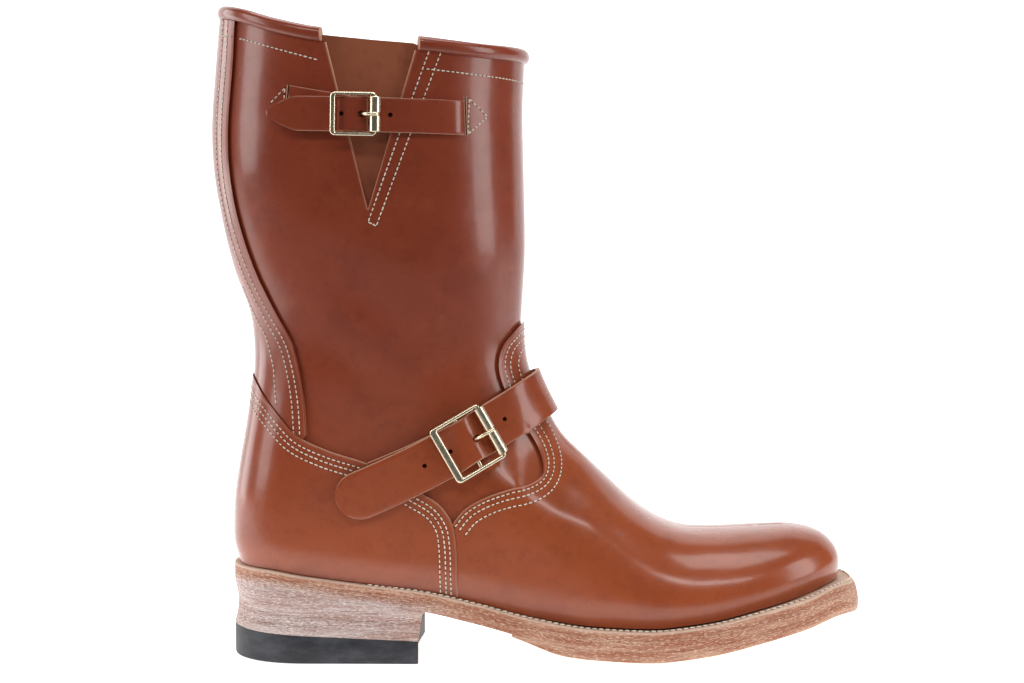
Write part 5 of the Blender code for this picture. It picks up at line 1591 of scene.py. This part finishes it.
def build_gusset(skin, finishes):
    rows = len(skin.points)
    start, first = UPPER_WALL + SEAT_GAP, int(0.61 * rows)
    shell = Form()
    outside = offset(skin.points, -start)[first:]
    inside = offset(skin.points, -start - GUSSET_LEATHER)[first:]
    for grid in (outside, inside):
        x = grid[-1, :, 0]
        rear = smooth_step(x, *(NOTCH_REAR + shift for shift in GUSSET_REAR_RISE))
        front = 1.0 - smooth_step(x, *GUSSET_FRONT_FALL)
        grid[-1, :, 2] += GUSSET_STAND * (rear * front)
    shell.wall(outside, inside, 0, 1)
    panel = shell.build("gusset_fine", [finishes["gusset"], finishes["lining"]])
    cutter = prism(notch_outline(GUSSET_MARGIN), -0.2, -0.01, finishes["gusset"])
    use(shape_with(panel, cutter, "INTERSECT"), "glazed_leather", "gusset")


def build_bead(finishes):
    """The rolled binding on the collar, open at the V."""
    fine = 150
    points = body_points(np.linspace(0.9, 1.0, 6), fine)
    rim = points[-1]
    outward = normals(points)[-1] * np.array([1.0, 1.0, 0.0])
    outward /= np.linalg.norm(outward, axis=1, keepdims=True)
    order = np.arange(2 * fine)
    slope = (NOTCH_APEX - NOTCH_REAR) / (COLLAR_BACK - NOTCH_APEX_HEIGHT)
    rear_x = NOTCH_APEX - slope * (rim[:, 2] - NOTCH_APEX_HEIGHT) - BEAD_CUT
    slope = (NOTCH_FRONT - NOTCH_APEX) / (COLLAR_BACK - NOTCH_APEX_HEIGHT)
    front_x = NOTCH_APEX + slope * (rim[:, 2] - NOTCH_APEX_HEIGHT)
    outer = order < fine
    start, stop = order[outer & (rim[:, 0] > front_x)][0], order[outer & (rim[:, 0] < rear_x)][-1]
    turned = np.arange(start, stop + 2 * fine + 1) % (2 * fine)
    path = even_steps(np.concatenate([rim[turned], outward[turned]], axis=1), BEAD_STATIONS + 1)
    ends, last = np.array(BEAD_ENDS), float(BEAD_STATIONS)
    at = np.concatenate([ends, np.arange(1.0, last), last - ends[::-1]])
    path = np.stack([np.interp(at, np.arange(last + 1.0), path[:, k]) for k in range(6)], axis=1)
    shrink = np.interp(np.minimum(at, last - at), ends, [0.80, 0.95, 1.0])
    bare = np.interp(np.minimum(at, last - at), ends, [1.0, 0.8, 0.0])
    turns = np.linspace(0.0, 2 * math.pi, 20, endpoint=False)
    wide = np.sign(np.cos(turns)) * np.abs(np.cos(turns)) ** 0.85 * BEAD_WIDTH / 2
    tall = np.sign(np.sin(turns)) * np.abs(np.sin(turns)) ** 0.85 * (BEAD_HEIGHT + BEAD_LAP) / 2
    out = path[:, 3:] / np.linalg.norm(path[:, 3:], axis=1, keepdims=True)
    lift = SEAT_GAP + (BEAD_HEIGHT - BEAD_LAP) / 2
    centre = path[:, :3] - out * UPPER_WALL / 2 + np.array([0.0, 0.0, lift])
    ring = out[:, None] * wide[None, :, None] + tall[None, :, None] * np.array([0.0, 0.0, 1.0])
    form = Form()
    form.loft(centre[:, None] + ring * shrink[:, None, None], edge=np.repeat(bare, len(turns)))
    bead = form.build("collar_bead_fine", [finishes["leather"]])
    use(bead, "glazed_leather", "collar_bead")


# Soles and heel


def toe_lean(x, down):
    """How far the sole's edge leans back at the toe, most at the welt's top."""
    share = np.clip(1.0 - down / LEAN_DEPTH, 0.0, 1.0)
    return (TOE_LEAN * smooth_step(x, *TOE_CURVE) * share**2)[:, None]


def edge_axes(line):
    """Unit vectors into a closed outline, and the length run along it."""
    ahead = np.roll(line, -1, axis=0) - np.roll(line, 1, axis=0)
    inwards = np.stack([-ahead[:, 1], ahead[:, 0]], axis=1)
    inwards /= np.linalg.norm(inwards, axis=1, keepdims=True)
    return inwards, np.cumsum(np.linalg.norm(np.diff(line, axis=0, append=line[:1]), axis=1))


def edge_rings(reach, count, top, low, corner_top, corner_low):
    """Rings of a sole layer's edge with rounded corners, and the run along and down."""
    line = foot_outline(reach, count)
    thickness = top(line[:, 0], line[:, 1]) - low(line[:, 0], line[:, 1])
    soft_top = np.minimum(corner_top, 0.35 * thickness)
    soft_low = np.minimum(corner_low, 0.35 * thickness)
    inwards, along = edge_axes(line)
    rings, runs = [], []
    steps = [(soft_top, 0.0), (0.3 * soft_top, 0.3), (0.0 * soft_top, 1.0)]
    steps += [(0.0 * soft_low, -1.0), (0.3 * soft_low, -0.3), (soft_low, -0.0001)]
    for inset, from_top in steps:
        place = line + inwards * inset[:, None]
        if from_top >= 0.0:
            z = top(place[:, 0], place[:, 1]) - from_top * soft_top
        else:
            z = low(place[:, 0], place[:, 1]) - from_top * soft_low
        place = place + inwards * toe_lean(line[:, 0], feather_height(place[:, 0]) - z)
        rings.append(np.concatenate([place, z[:, None]], axis=1))
        runs.append(np.stack([along, feather_height(place[:, 0]) - z, 0 * z], axis=1))
    return rings, runs


def layer(form, reach, top, low, corner_top=0.0006, corner_low=0.0006, slot=0):
    """A whole sole layer with rounded edges and closed faces above and below."""
    count = SOLE_POINTS
    rings, runs = edge_rings(reach, count, top, low, corner_top, corner_low)
    shares = (0.92, 0.75, 0.5, 0.25, 0.03)
    above = [raise_ring(ring, top) for ring in rings_inwards(rings[0], shares)]
    below = [raise_ring(ring, low) for ring in rings_inwards(rings[-1], shares)]
    sections = np.array(above[::-1] + rings + below)
    flat_run = np.zeros((len(shares), count, 3))
    run = np.concatenate([flat_run, np.array(runs), flat_run])
    form.loft(sections, slot, run=run)


def raise_ring(ring, height):
    """The ring's plan with its heights read from a surface."""
    return np.concatenate([ring[:, :2], height(ring[:, 0], ring[:, 1])[:, None]], axis=1)


def strip(form, reach, inset, down_top, down_low, keep, more=0):
    """Part of a ring round the foot, such as the welt, with a rounded outer edge."""
    line = foot_outline(reach, SOLE_POINTS)
    inside = foot_outline(lambda x: -inset + 0 * x, SOLE_POINTS)
    inwards, along = edge_axes(line)
    corner = WELT_CORNER + (WELT_TOE_CORNER - WELT_CORNER) * smooth_step(line[:, 0], *TOE_CURVE)
    rows = [(inside, down_top), (inside, down_low)]
    rows += [(line + inwards * JOINT_CORNER, down_low), (line, down_low - JOINT_CORNER)]
    for turn in np.linspace(0.0, math.pi / 2, 5):
        back = corner * (1.0 - math.cos(turn))
        rows.append((line + inwards * back[:, None], down_top + corner * (1.0 - math.sin(turn))))
    rings, runs = [], []
    for place, down in rows:
        z = layer_height(place[:, 0], place[:, 1], down)
        if place is not inside:
            place = place + inwards * toe_lean(line[:, 0], down)
        rings.append(np.concatenate([place, z[:, None]], axis=1))
        runs.append(np.stack([along, 0 * z + down, 0 * z], axis=1))
    order = np.nonzero(keep(line[:, 0]))[0]
    jump = np.nonzero(np.diff(order) > 1)[0]
    if len(jump):
        order = np.concatenate([order[jump[0] + 1 :], order[: jump[0] + 1]])
    order = np.arange(order[0] - more, order[0] + len(order) + more) % len(line)
    form.loft(np.array(rings).transpose(1, 0, 2)[order], run=np.array(runs).transpose(1, 0, 2)[order])


def under(down):
    """The surface at a distance under the feather line."""
    return lambda x, y: layer_height(x, y, down)


def build_sole(finishes, sewing):
    reach = sole_reach(1.0)
    parts = [("welt", lambda x: x > WELT_START, 0), ("heel_rand", lambda x: x <= WELT_START, 1)]
    for name, keep, more in parts:
        form = Form()
        strip(form, reach, WELT_INSET, WELT_TOP, WELT_LOW, keep, more)
        use(form.build(name + "_fine", [finishes["sole"]], 50), "natural_sole_leather", name)

    row = foot_outline(lambda x: reach(x) * WELT_ROW, 1400)
    row = row[row[:, 0] > WELT_ROW_START]
    row = row[np.argsort(np.arctan2(row[:, 1] - middle(row[:, 0]), row[:, 0] - WELT_ROW_START))]
    row = even_steps(row, int(np.linalg.norm(np.diff(row, axis=0), axis=1).sum() / WELT_STITCH))
    points = raise_ring(row, under(WELT_TOP))
    sewing.row(points, np.tile([0.0, 0.0, 1.0], (len(points), 1)), 0.0001)

    form = Form()
    layer(form, reach, under(WELT_LOW), under(MIDSOLE_LOW), JOINT_CORNER, JOINT_CORNER)
    use(form.build("midsole_fine", [finishes["sole"]], 50), "natural_sole_leather", "midsole")

    def thickness(x):
        share = smooth_step(x, HALF_SOLE_START - 0.004, HALF_SOLE_START + HALF_SOLE_FEATHER)
        return HALF_SOLE_FEATHER_EDGE + (HALF_SOLE_THICKNESS - HALF_SOLE_FEATHER_EDGE) * share

    def tread(x, y):
        return np.maximum(layer_height(x, y, MIDSOLE_LOW) - thickness(x), 0.0)

    form = Form()
    layer(form, reach, under(MIDSOLE_LOW), tread, JOINT_CORNER, TREAD_CORNER)
    half = form.build("half_sole_fine", [finishes["sole"]], 50)
    behind = [(-0.1, -0.1), (HALF_SOLE_START, -0.1), (HALF_SOLE_START, 0.1), (-0.1, 0.1)]
    shape_with(half, prism(behind, -0.2, 0.2, finishes["sole"]), "DIFFERENCE")
    use(half, "natural_sole_leather", "half_sole")

    form = Form()
    inset, low = UPPER_WALL + INSOLE_MARGIN, INSOLE_THICKNESS - INSOLE_PROUD
    layer(form, lambda x: -inset + 0 * x, under(-INSOLE_PROUD), under(low), 0.0006, 0.0004)
    use(form.build("insole_fine", [finishes["lining"]], 50), "flesh_leather", "insole")


def build_heel(finishes):
    ends = feather_height(np.array([0.0, HEEL_LENGTH])) - MIDSOLE_LOW

    def top_lift(x):
        return TOP_LIFT_BACK + (TOP_LIFT_FRONT - TOP_LIFT_BACK) * x / HEEL_LENGTH

    def height(x, share):
        if share == 0.0:
            return feather_height(x) - MIDSOLE_LOW
        top = ends[0] + (ends[1] - ends[0]) * x / HEEL_LENGTH
        return top + (top_lift(x) - top) * share

    def ring(share, z, inset=0.0):
        waist = STACK_WAIST * math.sin(math.pi * min(1.0, share))
        outline = heel_outline(waist + inset, HEEL_LENGTH + BREAST_RAKE * (1.0 - share) - inset)
        down = z(outline[:, 0])
        step = np.linalg.norm(np.diff(outline, axis=0, append=outline[:1]), axis=1)
        run = np.stack([np.cumsum(step), SEAT_HEIGHT - down, 0 * down], axis=1)
        return np.concatenate([outline, down[:, None]], axis=1), run

    def solid(rings, name, finish, slot):
        form = Form()
        form.loft(np.array([r[0] for r in rings]), run=np.array([r[1] for r in rings]))
        use(form.build(name + "_fine", [finish], 50), slot, name)

    for k in range(LIFT_COUNT):
        high, low = k / LIFT_COUNT, (k + 1) / LIFT_COUNT
        soft = JOINT_CORNER

        def at(share, nudge):
            return lambda x: height(x, share) + nudge

        rings = [
            ring(high, at(high, 0.0), soft),
            ring(high, at(high, -soft), 0.0),
            ring((high + low) / 2, lambda x: (height(x, high) + height(x, low)) / 2),
            ring(low, at(low, soft)),
            ring(low, at(low, 0.0), soft),
        ]
        solid(rings, f"heel_lift_{k + 1}", finishes["stack"], "natural_sole_leather")

    rings = [
        ring(1.0, top_lift, LIFT_CORNER),
        ring(1.0, lambda x: top_lift(x) - LIFT_CORNER),
        ring(1.0, lambda x: top_lift(x) / 2),
        ring(1.0, lambda x: HEEL_CORNER + 0 * x),
        ring(1.0, lambda x: 0.3 * HEEL_CORNER + 0 * x, 0.3 * HEEL_CORNER),
        ring(1.0, lambda x: 0.0 * x, HEEL_CORNER),
    ]
    solid(rings, "top_lift", finishes["rubber"], "black_rubber")


# Straps and buckles


def strap_grid(height, slope, distances, inner, half_widths, shares, rise=0.0):
    """Points and normals of the upper under a strap: [station, place across, xyz]."""
    along = np.array([math.cos(slope), math.sin(slope)])
    distances = np.asarray(distances, float)
    run = (distances - distances[0]) / (distances[-1] - distances[0])
    bow = ANKLE_STRAP_BOW * np.sin(math.pi * distances / ANKLE_STRAP_BOW_RUN) * (slope == ANKLE_STRAP_SLOPE)
    shift = np.asarray(shares)[None, :] * np.asarray(half_widths)[:, None] + (rise * run - bow)[:, None]
    starts = np.array([[front_crossing(height, slope, s) for s in row] for row in shift])
    spots = starts - along * np.maximum(distances, 1e-5)[:, None, None]
    return surface_frame(spots[..., 0], spots[..., 1], inner)


def strap_sheet(name, places, outs, lifts, leather, finishes, thin=None):
    shares, thick, edge = (column(STRAP_PROFILE, k) for k in ("across", "thick", "edge"))
    low = places + outs * lifts[:, None, None]
    grow = np.ones(len(lifts)) if thin is None else thin
    high = low + outs * (leather * thick[None, :] * grow[:, None])[..., None]
    form = Form()
    worn = np.maximum(np.broadcast_to(edge, low.shape[:2]), (1.0 - grow)[:, None])
    form.sheet(low, high, 0, worn, low_slot=1)
    return form.build(name, [finishes["leather"], finishes["lining"]], 50)


def fine(spans):
    """Stations of a strap at about one step, from (start, stop, step) spans."""
    values = []
    for start, stop, step in spans:
        count = max(2, int(math.ceil((stop - start) / step)))
        values.append(np.linspace(start, stop, count, endpoint=False))
    return np.concatenate(values + [[spans[-1][1]]])


def punch(strap, point, out, along, radius, length, finishes):
    """A round or long hole through a strap, with a raw wall."""
    along = along - out * float(along @ out)
    along /= np.linalg.norm(along)
    across = np.cross(out, along)
    turns = (np.arange(28) + 0.5) * 2 * math.pi / 28
    shift = np.where(np.cos(turns) > 0, length / 2, -length / 2)
    ring = along * (radius * np.cos(turns) + shift)[:, None] + across * (radius * np.sin(turns))[:, None]
    form = Form()
    form.loft(np.stack([point + ring - out * 0.006, point + ring + out * 0.012]))
    return shape_with(strap, form.build("cutter", [finishes["leather"]]), "DIFFERENCE")


def punch_row(strap, shares, height, slope, buckle_at, lifts, half, finishes):
    """Round holes on a strap's middle line, each lined with a dark tube of painted shade."""
    form = Form()
    for share in shares:
        distance = share * buckle_at
        stations = [distance, distance + 2 * HOLE_RADIUS]
        where, outs = strap_grid(height, slope, stations, False, [half, half], [0.0, 0.5])
        along, out = where[1, 0] - where[0, 0], outs[0, 0]
        punch(strap, where[0, 0], out, along, HOLE_RADIUS, 0.0, finishes)
        across = np.cross(out, along / np.linalg.norm(along))
        ahead = np.cross(across, out)
        # A dark tube inside each hole: painted shade
        turns = (np.arange(20) * 2 * math.pi / 20)[:, None]
        ring = (ahead[None] * np.cos(turns) + across[None] * np.sin(turns)) * HOLE_RADIUS * 0.98
        base = where[0, 0] + out * float(lift_at(lifts, buckle_at, distance))
        form.loft(np.stack([base + ring + out * 0.0001, base + ring + out * 0.0007]))
    use(form.build(strap.name.replace("_fine", "_painted_punch_hole_shades"), [finishes["hole"]]), None)


ACROSS = column(STRAP_PROFILE, "across")


def thin_tip(distances, tip):
    """Share of a strap's thickness near its tip."""
    return np.interp(tip - distances, [0.0, 0.0002, 0.0006], [0.35, 0.8, 1.0])


def build_chape(name, line, stations, half, rise, finishes):
    """The short strap that holds a buckle."""
    slim = np.full(len(stations), half)
    places, outs = strap_grid(*line, stations, False, slim, ACROSS, rise=rise)
    lifts = np.full(len(stations), CHAPE_LIFT)
    return strap_sheet(name, places, outs, lifts, CHAPE_LEATHER, finishes)


def build_ankle_strap(finishes):
    half, height, slope = ANKLE_STRAP_WIDTH / 2, ANKLE_STRAP_FRONT_HEIGHT, ANKLE_STRAP_SLOPE
    tip = ANKLE_STRAP_TAIL
    bend = (0.0006, 0.004, 0.0008)
    turn = [(tip - half, tip - 0.002, 0.0009), (tip - 0.002, tip, 0.0003)]
    outer = fine([bend, (0.004, tip - half, 0.0014)] + turn)
    widths = round_end(outer, tip, half, half, 2.0)
    places, outs = strap_grid(height, slope, outer, False, widths, ACROSS)
    inner = fine([bend, (0.004, ANKLE_STRAP_INNER, 0.0016)])
    places_in, outs_in = strap_grid(height, slope, inner, True, np.full(len(inner), half), ACROSS)
    lift = lift_at(ANKLE_STRAP_LIFT, ANKLE_BUCKLE_AT, outer)
    lift_in = lift_at(INNER_STRAP_LIFT, ANKLE_STRAP_INNER, inner)
    thin, thin_in = thin_tip(outer, tip), np.ones(len(inner))
    pairs = [(places, places_in), (outs, outs_in), (lift, lift_in), (thin, thin_in)]
    places, outs, lifts, thin = (np.concatenate([a[::-1], b]) for a, b in pairs)
    strap = strap_sheet("ankle_strap_fine", places, outs, lifts, ANKLE_STRAP_LEATHER, finishes, thin)
    punch_row(strap, ANKLE_HOLES, height, slope, ANKLE_BUCKLE_AT, ANKLE_STRAP_LIFT, half, finishes)
    counter = seam(COUNTER_EDGE, SEAM_POINTS)
    edge = [tuple(p) for p in side_shift(counter, -SEAT_GAP)]
    behind = edge + [(-0.1, edge[-1][1]), (-0.1, -0.05)]
    shape_with(strap, prism(behind, 0.005, 0.2, finishes["leather"]), "DIFFERENCE")

    stations = fine([(ANKLE_BUCKLE_AT - 0.004, ANKLE_CHAPE_START, 0.0018)])
    line = (height, slope)
    piece = build_chape("ankle_chape_fine", line, stations, half - 0.0006, ANKLE_CHAPE_RISE, finishes)
    outline = edge + [(-0.1, 0.5), (0.4, 0.5), (0.4, -0.05)]
    shape_with(piece, prism(outline, -0.2, 0.0, finishes["leather"]), "INTERSECT")
    use(piece, "glazed_leather", "ankle_chape")
    return strap


def build_top_strap(finishes):
    half, height, slope = TOP_STRAP_WIDTH / 2, TOP_STRAP_FRONT_HEIGHT, TOP_STRAP_SLOPE
    tip = TOP_STRAP_TAIL
    spans = [(TOP_STRAP_ROOT, tip - 0.014, 0.0014), (tip - 0.014, tip - 0.002, 0.0008)]
    run = fine(spans + [(tip - 0.002, tip, 0.0003)])
    widths = round_end(run, tip, half, 0.0145, 1.35)
    places, outs = strap_grid(height, slope, run, False, widths, ACROSS)
    lifts, thin = lift_at(TOP_STRAP_LIFT, TOP_BUCKLE_AT, run), thin_tip(run, tip)
    strap = strap_sheet("top_strap_fine", places, outs, lifts, TOP_STRAP_LEATHER, finishes, thin)
    punch_row(strap, TOP_HOLES, height, slope, TOP_BUCKLE_AT, TOP_STRAP_LIFT, half, finishes)
    stations = fine([(TOP_BUCKLE_AT - 0.003, TOP_CHAPE_START, 0.0016)])
    line = (height, slope)
    piece = build_chape("top_chape_fine", line, stations, half - 0.0004, TOP_CHAPE_RISE, finishes)
    use(piece, "glazed_leather", "top_chape")
    return strap


def buckle_axes(height, slope, distance):
    """Centre and axes of a buckle: towards the front, across, and outwards."""
    stations = [distance - 0.012, distance, distance + 0.012]
    places, outs = strap_grid(height, slope, stations, False, [0.001] * 3, [-1.0, 0.0, 1.0])
    out = outs[:, 1].mean(axis=0)
    out /= np.linalg.norm(out)
    along = places[0, 1] - places[2, 1]
    along -= out * float(along @ out)
    along /= np.linalg.norm(along)
    return places[1, 1], along, np.cross(out, along), out


def rounded_rectangle(low, high, half, radius):
    """A rectangle's outline with round corners, always with the same count of points."""
    spots = []
    far, near, side = high - radius, low + radius, half - radius
    corners = ((far, side), (near, side), (near, -side), (far, -side))
    for k, (x, y) in enumerate(corners):
        for t in np.linspace(k, k + 1, 9) * math.pi / 2:
            spots.append((x + radius * math.cos(t), y + radius * math.sin(t)))
        start, end = np.array(spots[-1]), (k + 1) * math.pi / 2
        stop = np.array(corners[(k + 1) % 4]) + radius * np.array([math.cos(end), math.sin(end)])
        spots += [tuple(start + (stop - start) * s) for s in (0.2, 0.4, 0.6, 0.8)]
    return np.array(spots)


def tube(form, path, radii, up, sides=16):
    """A round rod along a path, rounded at both ends by its radii."""
    path, radii = np.asarray(path, float), np.asarray(radii, float)
    along = np.gradient(path, axis=0)
    along /= np.linalg.norm(along, axis=1, keepdims=True)
    side = np.cross(along, up)
    side /= np.linalg.norm(side, axis=1, keepdims=True)
    rise = np.cross(side, along)
    turns = np.arange(sides) * 2 * math.pi / sides
    ring = side[:, None] * np.cos(turns)[None, :, None] + rise[:, None] * np.sin(turns)[None, :, None]
    form.loft(path[:, None] + ring * radii[:, None, None])


def build_buckle(prefix, line, frame, strap, finishes):
    """A square frame with a middle bar under the strap, a two-part roller and a prong."""
    length, strap_width, side_wire, bar, clearance, sag, lift = frame
    base, along, across, out = buckle_axes(*line)
    centre = base + out * lift - across * sag
    inner_half = strap_width / 2 + clearance
    outer_half = inner_half + side_wire
    half_length = length / 2
    inside = (BAR_RADIUS * math.sqrt(2) + SEAT_GAP) / math.cos(math.pi / 12)
    outside = inside + ROLLER_WALL
    bar_centre = half_length - BAR_RADIUS - SEAT_GAP - ROLLER_WALL

    def at(x, y, z):
        return centre + along * x + across * y + out * z

    outer = rounded_rectangle(-half_length, bar_centre + BAR_RADIUS, outer_half, 0.0024)
    inner = rounded_rectangle(-half_length + bar, bar_centre - BAR_RADIUS, inner_half, 0.0007)
    profile = list(FRAME_PROFILE)
    profile += [(s, -h) for s, h in profile[-2:0:-1]]
    sections = []
    for a, b in zip(outer, inner):
        sections.append([at(*(a + (b - a) * s), h * FRAME_HEIGHT / 2) for s, h in profile])
    form = Form()
    form.loft(np.array(sections), caps=False)
    reach = outer_half - 0.0006
    low = -BAR_DROP
    tube(form, [at(0, s * reach, low) for s in np.linspace(-1, 1, 24)], np.full(24, BAR_RADIUS), out)
    for side in (-1, 1):
        y = side * (inner_half + side_wire / 2)
        tube(form, [at(0, y, z) for z in np.linspace(low, 0.0, 8)], np.full(8, 0.46 * side_wire), along)
    use(form.build(prefix + "_buckle_fine", [finishes["metal"]]), "polished_brass", prefix + "_buckle")

    form = Form()
    half = inner_half - SEAT_GAP
    soft = 0.0003
    end = [(inside, half), (outside - soft, half), (outside, half - soft)]
    groove = [(outside, 0.0009), (outside - 0.0002, 0.0007), (outside - 0.0005, 0.0005)]
    outline = [(r, -y) for r, y in end + groove] + groove[::-1] + end[::-1]
    sections = []
    for t in np.arange(40) * 2 * math.pi / 40:
        sections.append([at(bar_centre + r * math.cos(t), y, r * math.sin(t)) for r, y in outline])
    form.loft(np.array(sections), caps=False)
    use(form.build(prefix + "_roller_fine", [finishes["metal"]]), "polished_brass", prefix + "_roller")

    rest = inside + ROLLER_WALL + SEAT_GAP + PRONG_RADIUS
    foot = BAR_RADIUS + SEAT_GAP + PRONG_RADIUS
    path = [
        (foot, -BAR_DROP),
        (foot + 0.0012, -BAR_DROP + 0.0016),
        (bar_centre * 0.50, rest - 0.0016),
        (bar_centre * 0.80, rest),
        (bar_centre + 0.0016, rest + 0.0001),
    ]
    curve = curve_through(path, 40)
    along_it, thick = [0, 0.02, 0.6, 0.9, 0.985, 1.0], [0.9, 1.0, 1.0, 0.92, 0.6, 0.15]
    shape = np.interp(np.linspace(0, 1, 40), along_it, thick)
    form = Form()
    tube(form, [at(x, 0, z) for x, z in curve], shape * PRONG_RADIUS, across)
    use(form.build(prefix + "_prong_fine", [finishes["metal"]]), "polished_brass", prefix + "_prong")
    pierce = at(bar_centre * 0.38, 0.0, -FRAME_HEIGHT)
    punch(strap, pierce, out, along, PRONG_RADIUS + 0.0007, PRONG_SLOT, finishes)
    use(strap, "glazed_leather", prefix + "_strap")


# Studio


def pale_paper():
    """White paper that glows with some of the studio's own brightness, less so in front, where it is
    painted darker as painted shade.
    """
    m = Maker("pale_floor")
    _, y, _ = m.parts(m.place())
    # Painted shade: the paper's glow and colour are darker in front
    near = y.between(PAPER_SHADE_START, PAPER_SHADE_END)
    glow = m.mix(near, (PAPER_SHADE,) * 3, (1.0, 1.0, 1.0))
    m.join(m.shader.inputs["Emission Color"], glow)
    m.join(m.shader.inputs["Emission Strength"], PAPER_GLOW)
    return m.shade(colour=m.mix(near, (0.22,) * 3, (0.86,) * 3), roughness=0.9, specular=0.1)


def build_studio():
    scene = bpy.context.scene
    scene.view_settings.view_transform = "Standard"
    scene.view_settings.look = "None"
    turns = np.linspace(0.0, math.pi / 2, 13)
    sweep = [(-SWEEP_FRONT, 0.0)]
    sweep += [(SWEEP_BACK + SWEEP_BEND * math.sin(t), SWEEP_BEND * (1.0 - math.cos(t))) for t in turns]
    sweep += [(SWEEP_BACK + SWEEP_BEND, SWEEP_TOP)]
    form = Form()
    for side in (-1, 1):
        form.add([(side * SWEEP_WIDTH / 2, y, z - FLOOR_GAP) for y, z in sweep], [])
    count = len(sweep)
    for k in range(count - 1):
        form.face((k, k + count, k + count + 1, k + 1))
    floor = form.build("floor", [pale_paper()])

    world = bpy.data.worlds.new("studio")
    scene.world = world
    world.use_nodes = True
    world.node_tree.nodes["Background"].inputs["Color"].default_value = (1.0, 1.0, 1.0, 1.0)
    world.node_tree.nodes["Background"].inputs["Strength"].default_value = ROOM_LIGHT

    for name, place, aim, size, power, colour in LIGHTS:
        light = bpy.data.lights.new(name, "AREA")
        light.shape, light.size, light.size_y = "RECTANGLE", size[0], size[1]
        light.energy, light.color = power, colour
        lamp = bpy.data.objects.new(name, light)
        scene.collection.objects.link(lamp)
        lamp.location = place
        lamp.rotation_euler = (Vector(aim) - Vector(place)).to_track_quat("-Z", "Y").to_euler()

    distance, tilt = CAMERA_DISTANCE, math.atan2(CAMERA_HEIGHT - CAMERA_AIM_HEIGHT, CAMERA_DISTANCE)
    camera = bpy.data.cameras.new("camera")
    camera.sensor_width = 36.0
    camera.lens = PHOTO_SCALE * distance / math.cos(tilt) / PHOTO_WIDTH * camera.sensor_width
    view = bpy.data.objects.new("camera", camera)
    scene.collection.objects.link(view)
    view.location = (CAMERA_ACROSS + SHIFT, -distance, CAMERA_HEIGHT)
    view.rotation_euler = (math.pi / 2 - tilt, 0.0, 0.0)
    scene.camera = view


def main():
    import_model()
    finishes = make_finishes()
    skin = Skin(skin_points())
    sewing = Sewing()
    build_upper(skin, finishes, sewing)
    build_panels(skin, finishes, sewing)
    build_gusset(skin, finishes)
    build_bead(finishes)
    welt_sewing = Sewing()
    build_sole(finishes, welt_sewing)
    build_heel(finishes)
    ankle = build_ankle_strap(finishes)
    top = build_top_strap(finishes)
    build_buckle("ankle", ANKLE_LINE, ANKLE_FRAME, ankle, finishes)
    build_buckle("top", TOP_LINE, TOP_FRAME, top, finishes)
    tree = sewing_tree()
    sewing.build(tree, "upper", STITCH, THREAD, finishes)
    welt_sewing.build(tree, "welt", WELT_STITCH, WELT_THREAD, finishes)
    build_studio()


main()
